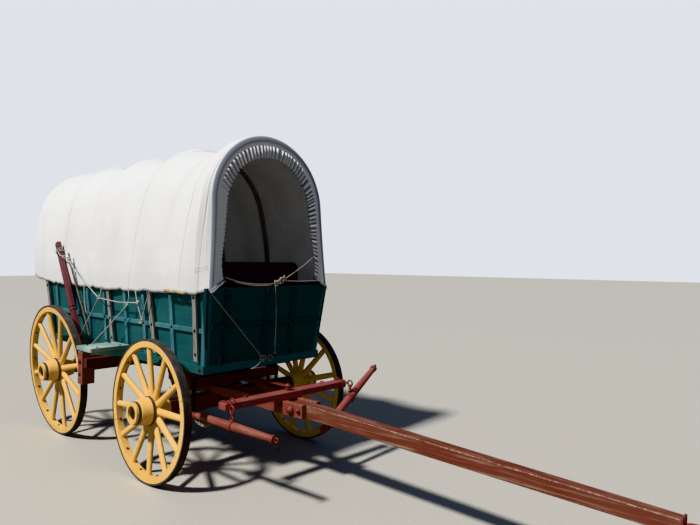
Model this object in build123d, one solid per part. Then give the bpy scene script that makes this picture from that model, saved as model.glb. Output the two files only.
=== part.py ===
from build123d import *
from math import asin, atan, cos, degrees, hypot, pi, radians, sin, tan
import os

# Covered wagon. X runs forward to the tongue's tip, Y to the left, Z up. Millimetres.
# The origin is on the ground, under the middle of the whole wagon.
os.makedirs("parts", exist_ok=True)

# Running gear
wheelbase = 1670.0
rear_axle_x = -2020.0
front_axle_x = rear_axle_x + wheelbase
rim_face_y = 757.0
seat_gap = 0.3
pin_gap = 0.3
running_gap = 5.5

# Wheels
front_wheel_diameter = 1016.0
rear_wheel_diameter = 1168.0
front_lean = -1.3
rear_lean = 4.0
tyre_width = 55.0
tyre_thickness = 12.0
felloe_depth = 46.0
felloe_width = 50.0
felloe_count = 6
felloe_kerf_angle = 0.25
spoke_count = 12
spoke_foot = (21.0, 27.0)
spoke_tip = (17.0, 22.0)
spoke_foot_k = -50.0
spoke_root = 12.0
spoke_tip_gap = 0.8
nave_radius = 100.0
nave_end_radius = 76.0
nave_mouth_radius = 52.0
nave_outer_k = 105.0
nave_inner_k = -160.0
nave_inner_radius = 74.0
nave_mouth_k = 70.0
nave_step_k = 64.0
outer_band_k = (69.0, 86.0)
inner_band_k = (-27.0, -9.0)
band_thickness = 4.0
arm_radius = 30.0
arm_gap = 0.5
arm_nut_radius = 40.0
arm_nut_height = 26.0
socket_radius = 42.0
socket_depth = 45.0
shoulder_radius = 58.0
shoulder_thickness = 12.0

# Axle beds, hounds and reach
bed_width = 100.0
bed_height = 105.0
hound_height = 56.0
hound_width = 52.0
hound_rear_x = -380.0
hound_rear_y = 300.0
hound_bend_x = 90.0
sand_board_half_length = 430.0
sand_board_inset = 4.0
sand_board_top = 695.0
kingpin_radius = 14.0
kingpin_end = 22.0
kingpin_head_radius = 26.0
kingpin_head_height = 10.0
wear_plate_radius = 80.0
wear_plate_thickness = 8.0
bolster_width = 92.0
reach_width = 60.0
reach_height = 44.0
reach_front_end = 70.0
reach_rear_end = 110.0
rear_hound_root_y = 240.0
rear_hound_width = 50.0
rear_hound_start = 760.0
rear_hound_end = 860.0
sway_bar_height = 36.0
sway_bar_width = 60.0
sway_bar_half_length = 350.0

# Jaw and tongue
jaw_start = 600.0
jaw_end = 900.0
jaw_bottom = 492.0
jaw_top = 585.0
cheek_thickness = 40.0
cheek_gap = 3.0
tongue_pin_from_axle = 790.0
tongue_pin_z = 539.0
tongue_pin_radius = 12.0
tongue_butt_width = 92.0
tongue_butt_height = 42.0
tongue_height = 93.0
tongue_tip_width = 66.0
tongue_tip_height = 70.0
tongue_length = 2405.4
tongue_butt_back = 140.0
tongue_shoulder = 180.0
tip_iron_thickness = 5.0
tip_cap_thickness = 10.0
ring_bite = 6.0
tongue_slope = 1.95
yoke_ring_outer = 46.0
yoke_ring_inner = 30.0
yoke_ring_thickness = 14.0

# Doubletree and singletrees
doubletree_pin_from_axle = 655.0
doubletree_half_length = 556.0
doubletree_height = 46.0
doubletree_width = 96.0
doubletree_end_width = 84.0
doubletree_straight = 90.0
doubletree_yaw = -2.5
doubletree_eye_span = 528.0
doubletree_pin_radius = 11.0
doubletree_gap = 1.0
hammer_pin_rise = 19.0
hammer_cap_radius = 19.0
hammer_cap_height = 12.0
hammer_cap_lift = 11.0
bridge_thickness = 8.0
bridge_width = 90.0
bridge_half_length = 105.0
singletree_length = 762.0
singletree_middle_radius = 31.0
singletree_end_radius = 22.0
singletree_drop = 84.0
near_yaw = 5.5
near_pitch = -2.1
near_reach = 26.0
near_ring_lift = -12.0
far_yaw = 96.6
far_pitch = 28.0
far_reach = 66.0
far_ring_lift = 14.0
eye_wire = 6.0
eye_radius = 24.0
swivel_radius = 5.0

# Box
box_length = 2690.0
box_front_from_axle = 395.0
sill_bottom = 791.0
sill_height = 57.0
sill_width = 75.0
sill_overhang = 33.0
sill_end = 8.0
cross_sill_count = 6
cross_sill_width = 70.0
wall_thickness = 22.0
wall_half_width = 520.0
wall_height = 542.0
side_flare = 4.0
end_lean = 8.4
batten_thickness = 20.0
batten_width = 45.0
rail_height = 32.0
rail_z = 1092.0
board_gap = 1.0
floor_thickness = 22.0
floor_board_count = 5
floor_board_gap = 3.0
floor_edge_gap = 0.6
end_wall_gap = 0.5
end_rail_rise = 30.0
side_batten_x = (-2460.0, -2120.0, -1765.0, -1445.0, -1065.0, -765.0, -355.0)
end_batten_y = (-400.0, -40.0, 220.0)

# Bows and cloth cover
bow_top = 2520.0
bow_crown_radius = 563.0
bow_thickness = 18.0
bow_width = 45.0
bow_tangent = -4.0
bow_foot_z = 875.0
leg_gap = 0.5
cover_thickness = 8.0
cover_hem_z = 1362.0
cover_end_hem_z = 1408.0
cover_sag = 45.0
cover_bow_margin = 4.0
cover_front_foot_from_axle = 502.7
cover_front_top_from_axle = 423.0
cover_front_half_width = 557.0
cover_front_crown_radius = 520.0
cover_front_tangent = 5.0
cover_front_drop = 5.0
cover_rear_overhang = 215.0
hem_band = 120.0
hem_crown_drop = 45.0

# Ropes across the front
swag_diameter = 10.0
tail_diameter = 8.0
rope_bite = 3.0
swag_end_z = (1466.0, 1611.0)
tail_y = 18.0

# Seat
seat_rear_from_axle = 140.0
seat_depth = 280.0
seat_plank_thickness = 24.0
seat_back_height = 156.0
seat_back_thickness = 22.0
seat_back_corner = 60.0
seat_back_inset = 18.0

# Step board
step_front_gap = 595.0
step_rear_gap = 815.0
step_board_thickness = 30.0
step_board_top = 900.0
step_board_outer_y = 893.5
step_wall_gap = 22.0
bearer_width = 44.0
bearer_end = 30.0
bearer_inset = 22.0

# Brake
beam_from_rear_axle = 715.0
beam_depth = 60.0
beam_bottom = 700.0
beam_top = 775.0
beam_half_length = 790.0
shoe_length = 85.0
shoe_inner_y = 700.0
shoe_outer_y = 800.0
shoe_bottom = 560.0
shoe_top = 825.0
brake_gap = 8.0
lever_foot_from_rear_axle = 340.0
lever_foot_z = 740.0
lever_top_from_rear_axle = -248.0
lever_top_z = 1738.0
lever_y = 635.0
lever_thickness = 36.0
lever_width = 50.0
lever_pivot_radius = 12.0
lever_pivot_height = 95.0
brake_rod_radius = 9.0


def from_front(x):
    return front_axle_x + x


def save(name, *solids):
    shape = solids[0] if len(solids) == 1 else Compound(children=list(solids))
    export_step(shape, f"parts/{name}.step")


def block(x0, x1, y0, y1, z0, z1):
    """A box between two corners."""
    return Pos((x0 + x1) / 2, (y0 + y1) / 2, (z0 + z1) / 2) * Box(abs(x1 - x0), abs(y1 - y0), z1 - z0)


def rod(start, end, radius):
    """A round bar between two points."""
    line = Vector(*end) - Vector(*start)
    return extrude(Plane(origin=start, z_dir=line) * Circle(radius), amount=line.length)


def turned(profile):
    """A solid of revolution about Y, from (radius, y) points."""
    return revolve(make_face(Polyline(*profile, close=True)), Axis.Y)


def mirrored(shape):
    return mirror(shape, Plane.XZ)


# Wheels, each built with its axle along Y and its outer rim face at y = 0

def nave_and_spokes(radius):
    felloe_inner = radius - tyre_thickness - felloe_depth
    shape = turned([
        (arm_radius + arm_gap, nave_inner_k),
        (nave_inner_radius, nave_inner_k),
        (nave_inner_radius + 10, nave_inner_k + 60),
        (nave_radius, nave_inner_k + 90),
        (nave_radius, inner_band_k[1] + 1),
        (nave_end_radius + 10, nave_step_k),
        (nave_end_radius, nave_step_k + 4),
        (nave_end_radius, nave_outer_k),
        (nave_mouth_radius, nave_outer_k),
        (nave_mouth_radius, nave_mouth_k),
        (arm_radius + arm_gap, nave_mouth_k),
    ])
    foot = Plane(origin=(nave_radius - spoke_root, spoke_foot_k, 0), x_dir=(0, 1, 0), z_dir=(1, 0, 0))
    tip = Plane(origin=(felloe_inner - spoke_tip_gap, -tyre_width / 2, 0), x_dir=(0, 1, 0), z_dir=(1, 0, 0))
    spoke = loft([foot * Ellipse(*spoke_foot), tip * Ellipse(*spoke_tip)])
    for i in range(spoke_count):
        shape += Rot(Y=i * 360 / spoke_count) * spoke
    return shape


def felloes(radius):
    outer = radius - tyre_thickness
    inner = outer - felloe_depth
    y0 = -(tyre_width - felloe_width) / 2
    section = [(inner, y0), (outer - seat_gap, y0), (outer - seat_gap, y0 - felloe_width), (inner, y0 - felloe_width)]
    step = 360 / felloe_count
    face = make_face(Polyline(*section, close=True))
    segment = revolve(face, Axis.Y, revolution_arc=step - felloe_kerf_angle)
    return [Rot(Y=i * step + step / 4) * segment for i in range(felloe_count)]


def wheel_irons(radius):
    seat = radius - tyre_thickness
    tyre = turned([(radius, 0), (radius, -tyre_width), (seat, -tyre_width), (seat, 0)])
    bands = []
    for seat, (k0, k1) in ((nave_end_radius, outer_band_k), (nave_radius, inner_band_k)):
        inner = seat + seat_gap / 2
        bands.append(turned([(inner, k0), (inner + band_thickness, k0), (inner + band_thickness, k1), (inner, k1)]))
    return [tyre] + bands


def axle_arm():
    """The iron skein: a socket let into the bed, the shoulder, the arm and its nut."""
    shoulder_k = nave_inner_k - seat_gap
    arm = turned([
        (0, shoulder_k - shoulder_thickness - socket_depth),
        (socket_radius, shoulder_k - shoulder_thickness - socket_depth),
        (socket_radius, shoulder_k - shoulder_thickness),
        (shoulder_radius, shoulder_k - shoulder_thickness),
        (shoulder_radius, shoulder_k),
        (arm_radius, shoulder_k),
        (arm_radius, nave_mouth_k + seat_gap),
        (0, nave_mouth_k + seat_gap),
    ])
    nut_plane = Plane(origin=(0, nave_mouth_k + seat_gap, 0), z_dir=(0, 1, 0))
    return arm + extrude(nut_plane * RegularPolygon(arm_nut_radius, 6), amount=arm_nut_height)


def wheel_centre_z(diameter, lean):
    return diameter / 2 * cos(radians(lean)) + tyre_width * max(0, -sin(radians(lean)))


def placed(shape, axle_x, diameter, lean, side):
    """Puts a wheel part at its axle end; side is 1 on the left and -1 on the right."""
    turn = Rot(X=-lean) if side > 0 else Rot(X=lean) * Rot(Z=180)
    return Pos(axle_x, side * rim_face_y, wheel_centre_z(diameter, lean)) * turn * shape


# name, axle x, diameter, lean, side, turn of the spokes in degrees
wheel_table = (
    ("front_left", front_axle_x, front_wheel_diameter, front_lean, 1, 15.0),
    ("front_right", front_axle_x, front_wheel_diameter, front_lean, -1, 3.0),
    ("rear_left", rear_axle_x, rear_wheel_diameter, rear_lean, 1, 7.0),
    ("rear_right", rear_axle_x, rear_wheel_diameter, rear_lean, -1, 11.0),
)
for name, axle_x, diameter, lean, side, turn in wheel_table:
    spot = (axle_x, diameter, lean, side)
    radius = diameter / 2
    save(f"{name}_spokes", placed(Rot(Y=turn) * nave_and_spokes(radius), *spot))
    save(f"{name}_felloes", *[placed(Rot(Y=turn) * f, *spot) for f in felloes(radius)])
    save(f"{name}_irons", *[placed(i, *spot) for i in wheel_irons(radius)])

# Axle beds and their iron arms
inboard = nave_inner_k - seat_gap - shoulder_thickness


def bed_middle_z(diameter, lean):
    return wheel_centre_z(diameter, lean) - inboard * sin(radians(lean))


def bed_half_length(lean):
    return rim_face_y + inboard * cos(radians(lean)) - shoulder_radius * abs(sin(radians(lean)))


def axle(axle_x, diameter, lean):
    middle = bed_middle_z(diameter, lean)
    half = bed_half_length(lean)
    arms = [placed(axle_arm(), axle_x, diameter, lean, side) for side in (1, -1)]
    x = bed_width / 2
    bed = block(axle_x - x, axle_x + x, -half, half, middle - bed_height / 2, middle + bed_height / 2)
    return bed - arms[0] - arms[1], arms


front_bed, front_arms = axle(front_axle_x, front_wheel_diameter, front_lean)
rear_bed, rear_arms = axle(rear_axle_x, rear_wheel_diameter, rear_lean)
front_bed_top = bed_middle_z(front_wheel_diameter, front_lean) + bed_height / 2
rear_bed_top = bed_middle_z(rear_wheel_diameter, rear_lean) + bed_height / 2
kingpin_hole = Pos(front_axle_x, 0, 600) * Cylinder(kingpin_radius + pin_gap, 600)
save("front_axle_bed", front_bed - kingpin_hole)
save("front_axle_arms", *front_arms)
save("rear_axle_arms", *rear_arms)

# Front hounds: level over the bed, falling to the two cheeks of the jaw
hound_top = front_bed_top + hound_height
cheek_inner_y = tongue_butt_width / 2 + cheek_gap
cheek_outer_y = cheek_inner_y + cheek_thickness
cheek_middle_y = (cheek_inner_y + cheek_outer_y) / 2


def hound_y(x):
    share = (x - hound_rear_x) / (jaw_start - hound_rear_x)
    return hound_rear_y + (cheek_middle_y - hound_rear_y) * share


def cross_section(x, y, width, z0, z1):
    plane = Plane(origin=(from_front(x), y, (z0 + z1) / 2), x_dir=(0, 1, 0), z_dir=(1, 0, 0))
    return plane * Rectangle(width, z1 - z0)


def hound():
    rear = cross_section(hound_rear_x, hound_y(hound_rear_x), hound_width, front_bed_top, hound_top)
    bend = cross_section(hound_bend_x, hound_y(hound_bend_x), hound_width, front_bed_top, hound_top)
    jaw = cross_section(jaw_start, cheek_middle_y, cheek_thickness, jaw_bottom, jaw_top)
    cheek = block(from_front(jaw_start), from_front(jaw_end), cheek_inner_y, cheek_outer_y, jaw_bottom, jaw_top)
    arm = loft([rear, bend], ruled=True) + loft([bend, jaw], ruled=True) + cheek
    return arm


tongue_pin_x = from_front(tongue_pin_from_axle)
tongue_pin_hole = Pos(tongue_pin_x, 0, tongue_pin_z) * Rot(X=90) * Cylinder(tongue_pin_radius + pin_gap, 400)
left_hound = hound() - tongue_pin_hole

# Sway bar under the hounds' rear ends, and the sand board over the bed
sway_bar = block(
    from_front(hound_rear_x), from_front(hound_rear_x + sway_bar_width),
    -sway_bar_half_length, sway_bar_half_length, front_bed_top - sway_bar_height, front_bed_top,
)
save("front_hounds", left_hound + mirrored(left_hound) + sway_bar)
sand_x = bed_width / 2 - sand_board_inset
sand_board = block(
    front_axle_x - sand_x, front_axle_x + sand_x,
    -sand_board_half_length, sand_board_half_length, hound_top, sand_board_top,
)
save("sand_board", sand_board - kingpin_hole)

# Jaw pin and the straps across the jaw
pin_half = cheek_outer_y + 16
head_y = cheek_outer_y + 9
jaw_pin = Pos(tongue_pin_x, 0, tongue_pin_z) * Rot(X=90) * Cylinder(tongue_pin_radius, 2 * pin_half)
pin_head = Pos(tongue_pin_x, -head_y, tongue_pin_z) * Rot(X=90) * Cylinder(tongue_pin_radius + 10, 12)
pin_nut = Pos(tongue_pin_x, head_y, tongue_pin_z) * Rot(X=90) * Cylinder(tongue_pin_radius + 8, 12)
save("jaw_pin", jaw_pin + pin_head + pin_nut)

# Bridge across the hounds that carries the doubletree pin
doubletree_pin_x = from_front(doubletree_pin_from_axle)
bridge_x = bridge_width / 2
bridge = block(
    doubletree_pin_x - bridge_x, doubletree_pin_x + bridge_x, -bridge_half_length, bridge_half_length,
    jaw_top, jaw_top + bridge_thickness,
)
doubletree_bottom = jaw_top + bridge_thickness + doubletree_gap
doubletree_top = doubletree_bottom + doubletree_height


def on_hammer_pin(z0, z1, radius):
    """A round bar on the doubletree pin's axis, between two heights."""
    return rod((doubletree_pin_x, 0, z0), (doubletree_pin_x, 0, z1), radius)


hammer_pin = on_hammer_pin(jaw_top, doubletree_top + hammer_pin_rise, doubletree_pin_radius)
cap_bottom = doubletree_top + hammer_cap_lift
pin_cap = on_hammer_pin(cap_bottom, cap_bottom + hammer_cap_height, hammer_cap_radius)
save("hound_bridge", bridge + hammer_pin + pin_cap)

# Kingpin, bolsters, reach and rear hounds
sill_top = sill_bottom + sill_height
sill_outer_y = wall_half_width + sill_overhang
kingpin_foot = front_bed_top - bed_height - kingpin_end
kingpin_top = sill_bottom
kingpin = Pos(front_axle_x, 0, (kingpin_foot + kingpin_top) / 2) * Cylinder(kingpin_radius, kingpin_top - kingpin_foot)
kingpin += Pos(front_axle_x, 0, kingpin_top + kingpin_head_height / 2) * Cylinder(kingpin_head_radius, kingpin_head_height)
wear_plate_bottom = sand_board_top + 0.5
bolster_bottom = wear_plate_bottom + wear_plate_thickness
wear_plate = Pos(front_axle_x, 0, (wear_plate_bottom + bolster_bottom) / 2) * Cylinder(
    wear_plate_radius, wear_plate_thickness
)
bolster_x = bolster_width / 2
front_bolster = block(
    front_axle_x - bolster_x, front_axle_x + bolster_x, -sill_outer_y, sill_outer_y, bolster_bottom, sill_bottom
)
save("kingpin", kingpin + wear_plate)

reach_front_z = front_bed_top + running_gap + 1 + reach_height / 2
reach_rear_z = rear_bed_top + reach_height / 2
reach_rise = atan((reach_rear_z - reach_front_z) / wheelbase)
reach_plane = Plane(
    origin=(rear_axle_x, 0, reach_rear_z),
    x_dir=(cos(reach_rise), 0, -sin(reach_rise)),
    z_dir=(sin(reach_rise), 0, cos(reach_rise)),
)
reach_length = wheelbase + reach_front_end + reach_rear_end
reach_middle = reach_plane * Pos(reach_length / 2 - reach_rear_end, 0, 0)
save("reach", reach_middle * Box(reach_length, reach_width, reach_height) - kingpin_hole)
reach_slot = reach_middle * Box(reach_length + 40, reach_width + 2 * seat_gap, reach_height + 2 * seat_gap)
rear_bolster = block(
    rear_axle_x - bolster_x, rear_axle_x + bolster_x, -sill_outer_y, sill_outer_y, rear_bed_top, sill_bottom
)
save("bolsters", front_bolster - kingpin_hole, rear_bolster - reach_slot)
save("rear_axle_bed", rear_bed - reach_slot)
hound_root_x = bed_width / 2 + 2
reach_side_y = reach_width / 2 + seat_gap
hound_root = reach_plane * Polyline(
    (hound_root_x, rear_hound_root_y + rear_hound_width), (hound_root_x, rear_hound_root_y),
    (rear_hound_start, reach_side_y), (rear_hound_end, reach_side_y), close=True,
)
rear_hound = extrude(make_face(hound_root), amount=reach_height / 2, both=True)
save("rear_hounds", rear_hound, mirrored(rear_hound))

# Box frame: two long sills, cross sills between them, and floor boards over them
box_front_x = from_front(box_front_from_axle)
box_rear_x = box_front_x - box_length
sill = block(box_rear_x - sill_end, box_front_x + sill_end, sill_outer_y - sill_width, sill_outer_y, sill_bottom, sill_top)
cross_half = sill_outer_y - sill_width
box_frame = sill + mirrored(sill)
cross_pitch = (box_length + 2 * sill_end - cross_sill_width) / (cross_sill_count - 1)
for i in range(cross_sill_count):
    x0 = box_rear_x - sill_end + i * cross_pitch
    x1 = x0 + cross_sill_width
    box_frame += block(x0, x1, -cross_half, cross_half, sill_bottom, sill_top)
save("box_frame", box_frame)

flare = radians(side_flare)
lean_angle = radians(end_lean)
inner_half = wall_half_width - wall_thickness / cos(flare)
floor_front_x = box_front_x - wall_thickness / cos(lean_angle) - floor_edge_gap
floor_rear_x = box_rear_x + wall_thickness / cos(lean_angle) + floor_edge_gap
floor_half = inner_half - floor_edge_gap
board_width = (2 * floor_half - (floor_board_count - 1) * floor_board_gap) / floor_board_count
floor_boards = []
for i in range(floor_board_count):
    y0 = -floor_half + i * (board_width + floor_board_gap)
    floor_boards.append(block(floor_rear_x, floor_front_x, y0, y0 + board_width, sill_top, sill_top + floor_thickness))
save("floor_boards", *floor_boards)

# Side walls: two boards each, with upright battens, corner strips and a rail outside
side_plane = Plane(
    origin=(0, wall_half_width, sill_top), x_dir=(-1, 0, 0), z_dir=(0, cos(flare), -sin(flare))
)
side_slope = wall_height / cos(flare)
end_slope = wall_height / cos(lean_angle)
top_lean = wall_height * tan(lean_angle)


def side_edge(s, front):
    """The side wall's end at slope height s, in the side plane's own x, which runs backwards."""
    shift = s / side_slope * top_lean
    return -(box_front_x + shift) if front else -(box_rear_x - shift)


def side_board(s0, s1):
    points = [(side_edge(s0, True), s0), (side_edge(s0, False), s0), (side_edge(s1, False), s1), (side_edge(s1, True), s1)]
    return extrude(side_plane * make_face(Polyline(*points, close=True)), amount=-wall_thickness)


rail_s = (rail_z - sill_top) / cos(flare)
side_boards = [side_board(0, rail_s - board_gap / 2), side_board(rail_s + board_gap / 2, side_slope)]
save("side_walls", *side_boards, *[mirrored(b) for b in side_boards])

side_strip_foot = batten_thickness * tan(flare) + seat_gap
end_strip_foot = batten_thickness * tan(lean_angle) + seat_gap


def side_strip(points):
    return extrude(side_plane * make_face(Polyline(*points, close=True)), amount=batten_thickness)


side_frame = side_strip([
    (side_edge(rail_s - rail_height / 2, True), rail_s - rail_height / 2),
    (side_edge(rail_s - rail_height / 2, False), rail_s - rail_height / 2),
    (side_edge(rail_s + rail_height / 2, False), rail_s + rail_height / 2),
    (side_edge(rail_s + rail_height / 2, True), rail_s + rail_height / 2),
])
for x in side_batten_x:
    half = batten_width / 2
    side_frame += side_strip([
        (-x - half, side_strip_foot), (-x + half, side_strip_foot), (-x + half, side_slope), (-x - half, side_slope),
    ])
for front in (True, False):
    inward = batten_width if front else -batten_width
    low, high = side_edge(side_strip_foot, front), side_edge(side_slope, front)
    side_frame += side_strip([
        (low, side_strip_foot), (low + inward, side_strip_foot), (high + inward, side_slope), (high, side_slope),
    ])

# End walls, let in between the sides, with their own battens and rail
end_rail_s = (rail_z + end_rail_rise - sill_top) / cos(lean_angle)


def end_plane(front):
    if front:
        return Plane(origin=(box_front_x, 0, sill_top), x_dir=(0, 1, 0), z_dir=(cos(lean_angle), 0, -sin(lean_angle)))
    return Plane(origin=(box_rear_x, 0, sill_top), x_dir=(0, -1, 0), z_dir=(-cos(lean_angle), 0, -sin(lean_angle)))


def end_half(s):
    return inner_half - end_wall_gap + s * cos(lean_angle) * tan(flare)


def end_board(front, s0, s1):
    a, b = end_half(s0), end_half(s1)
    outline = Polyline((-a, s0), (a, s0), (b, s1), (-b, s1), close=True)
    return extrude(end_plane(front) * make_face(outline), amount=-wall_thickness)


def end_frame(front):
    plane = end_plane(front)
    low, high = end_rail_s - rail_height / 2, end_rail_s + rail_height / 2
    a, b = end_half(low), end_half(high)
    rail = Polyline((-a, low), (a, low), (b, high), (-b, high), close=True)
    frame = extrude(plane * make_face(rail), amount=batten_thickness)
    for y in end_batten_y:
        height = end_slope - end_strip_foot
        strip = plane * Pos(y, end_strip_foot + height / 2) * Rectangle(batten_width, height)
        frame += extrude(strip, amount=batten_thickness)
    return frame


end_boards = []
for front in (True, False):
    end_boards.append(end_board(front, 0, end_rail_s - board_gap / 2))
    end_boards.append(end_board(front, end_rail_s + board_gap / 2, end_slope))
save("end_walls", *end_boards)
save("box_battens", side_frame, mirrored(side_frame), end_frame(True), end_frame(False))

# Bows: a crown arc, two long side arcs tangent to it, and straight legs outside the box
bow_knee_z = sill_top + wall_height
bow_knee_y = wall_half_width + wall_height * tan(flare) + batten_thickness / cos(flare) + leg_gap + bow_thickness
bow_leg_drop = (bow_knee_z - bow_foot_z) * tan(flare)


def arch(half_width, tangent_angle, crown_radius, rise):
    """The arcs of an arch over its knees: both radii, the side arc's centre and the angle where they meet."""
    t = radians(tangent_angle)
    side_radius = (half_width ** 2 + rise ** 2 - 2 * rise * crown_radius) / (
        2 * (half_width * cos(t) + (crown_radius - rise) * sin(t) - crown_radius)
    )
    centre_y = half_width - side_radius * cos(t)
    centre_drop = rise + side_radius * sin(t)
    return side_radius, crown_radius, centre_y, centre_drop, atan((centre_drop - crown_radius) / -centre_y)


def arch_points(shape, offset, top, foot):
    """Half an arch, from foot to crown: foot, middle and end of the side arc, middle of the crown arc, top."""
    side_radius, crown_radius, centre_y, centre_drop, joint_angle = shape
    side_r, crown_r = side_radius + offset, crown_radius + offset
    side_v, crown_v = top - centre_drop, top - crown_radius
    foot_angle = asin((foot - side_v) / side_r)
    middle = (foot_angle + joint_angle) / 2
    crown_middle = (joint_angle + radians(90)) / 2

    def side_point(angle):
        return (centre_y + side_r * cos(angle), side_v + side_r * sin(angle))

    joint = (crown_r * cos(joint_angle), crown_v + crown_r * sin(joint_angle))
    crown = (crown_r * cos(crown_middle), crown_v + crown_r * sin(crown_middle))
    return side_point(foot_angle), side_point(middle), joint, crown, (0, crown_v + crown_r)


def flip(point):
    return (-point[0], point[1])


def arch_face(outer, inner, outer_leg=(), inner_leg=()):
    """The closed band between two arches; a leg is the point below each foot."""
    f, m, j, _, t = outer
    g, n, k, _, u = inner
    edges = [
        ThreePointArc(f, m, j),
        ThreePointArc(j, t, flip(j)),
        ThreePointArc(flip(j), flip(m), flip(f)),
    ]
    left = [flip(f), *[flip(p) for p in outer_leg], *[flip(p) for p in inner_leg], flip(g)]
    right = [g, *inner_leg, *outer_leg, f]
    edges += [Line(a, b) for a, b in zip(left, left[1:])]
    edges += [
        ThreePointArc(flip(g), flip(n), flip(k)),
        ThreePointArc(flip(k), u, k),
        ThreePointArc(k, n, g),
    ]
    edges += [Line(a, b) for a, b in zip(right, right[1:])]
    return make_face(edges)


def tilted_plane(foot_x, top_x):
    """The plane of a bow: upright in Y, and leaning along X from its feet to its top."""
    up = Vector(top_x - foot_x, 0, bow_top - bow_foot_z).normalized()
    return Plane(origin=(foot_x, 0, bow_foot_z), x_dir=(0, 1, 0), z_dir=Vector(0, 1, 0).cross(up))


def along_plane(foot_x, top_x, z):
    """The height z, measured from the bows' feet along a leaning plane."""
    return (z - bow_foot_z) * hypot(top_x - foot_x, bow_top - bow_foot_z) / (bow_top - bow_foot_z)


def bow_arch(foot_x, top_x):
    """A bow's arcs in its own plane, with its top and its knee there."""
    top, knee = along_plane(foot_x, top_x, bow_top), along_plane(foot_x, top_x, bow_knee_z)
    return arch(bow_knee_y, bow_tangent, bow_crown_radius, top - knee), top, knee


# foot x and top x of each bow, from the front
bow_table = ((-30.0, 30.0), (-590.0, -755.0), (-1285.0, -1445.0), (-2060.0, -2195.0), (-2580.0, -2800.0))


def bow(foot_x, top_x):
    shape, top, knee = bow_arch(foot_x, top_x)
    outer = arch_points(shape, 0, top, knee)
    inner = arch_points(shape, -bow_thickness, top, knee)
    leg_outer = (outer[0][0] - bow_leg_drop, 0)
    leg_inner = (inner[0][0] - bow_leg_drop, 0)
    face = arch_face(outer, inner, [leg_outer], [leg_inner])
    return extrude(tilted_plane(foot_x, top_x) * face, amount=bow_width / 2, both=True)


save("bows", *[bow(*row) for row in bow_table])

# Cloth cover: flat over each bow, drawn in between them and at the front, where a band turns inward
cover_rear_x = box_rear_x - wall_height * tan(lean_angle) - cover_rear_overhang
cover_front = (from_front(cover_front_foot_from_axle), from_front(cover_front_top_from_axle))
front_top = along_plane(*cover_front, bow_top) - cover_front_drop
front_hem_v = along_plane(*cover_front, cover_end_hem_z)
front_rise = front_top - along_plane(*cover_front, bow_knee_z)
front_arch = arch(cover_front_half_width, cover_front_tangent, cover_front_crown_radius, front_rise)


def cover_face(shape, top, hem, sag=0):
    """The cloth's section over an arch, drawn in by sag at the crown."""
    inner = arch_points(shape, seat_gap - sag / 3, top - sag, hem)
    outer = arch_points(shape, seat_gap + cover_thickness - sag / 3, top - sag, hem)
    return arch_face(outer, inner)


def over_bow(foot_x, top_x, hem_z, shift=0, sag=0):
    shape, top, _ = bow_arch(foot_x, top_x)
    return tilted_plane(foot_x, top_x).offset(shift) * cover_face(shape, top, along_plane(foot_x, top_x, hem_z), sag)


def cover_sections():
    half = bow_width / 2 + cover_bow_margin
    sections = [tilted_plane(*cover_front) * cover_face(front_arch, front_top, front_hem_v)]
    for i, (foot, top) in enumerate(bow_table):
        sections += [over_bow(foot, top, cover_hem_z, half), over_bow(foot, top, cover_hem_z, -half)]
        if i + 1 < len(bow_table):
            next_foot, next_top = bow_table[i + 1]
            sections.append(over_bow((foot + next_foot) / 2, (top + next_top) / 2, cover_hem_z, 0, cover_sag))
    sections.append(over_bow(cover_rear_x, cover_rear_x, cover_end_hem_z))
    return sections


cover = loft(cover_sections(), ruled=True)
hem_outer = arch_points(front_arch, seat_gap + cover_thickness / 2, front_top, front_hem_v)
hem_inner = arch_points(front_arch, seat_gap - hem_band, front_top - hem_crown_drop, front_hem_v)
front_hem = extrude(tilted_plane(*cover_front) * arch_face(hem_outer, hem_inner), amount=cover_thickness / 2, both=True)
save("cover", cover + front_hem)

# Ropes: one sags across the front opening between the band's inner edges, one hangs from it
rope_ease = 0.45


def front_x(z):
    """The leaning front plane's x at a height."""
    return cover_front[0] + (cover_front[1] - cover_front[0]) * (z - bow_foot_z) / (bow_top - bow_foot_z)


def band_inner_y(z):
    """Half the opening's width at a height, between the band's inner edges."""
    side_radius, _, centre_y, centre_drop, _ = front_arch
    side_r = side_radius + seat_gap - hem_band
    rise = along_plane(*cover_front, z) - (front_top - hem_crown_drop - centre_drop)
    return centre_y + side_r * cos(asin(rise / side_r))


def rope(name, diameter, points):
    """A tube along straight runs, each corner rounded as far as its shorter run allows."""
    spots = [Vector(*p) for p in points]
    radii = []
    for before, corner, after in zip(spots, spots[1:], spots[2:]):
        turn = radians((corner - before).get_angle(after - corner))
        shorter = min((corner - before).length, (after - corner).length)
        radii.append(rope_ease * shorter / tan(turn / 2))
    path = FilletPolyline(*points, radius=radii)
    tube = sweep(Plane(origin=path @ 0, z_dir=path % 0) * Circle(diameter / 2), path)
    full = pi * diameter ** 2 / 4 * path.length
    print(name, "length", round(path.length, 1), "radii", [round(r) for r in radii])
    print(name, "volume", round(tube.volume), "of", round(full))
    save(name, tube)


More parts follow.
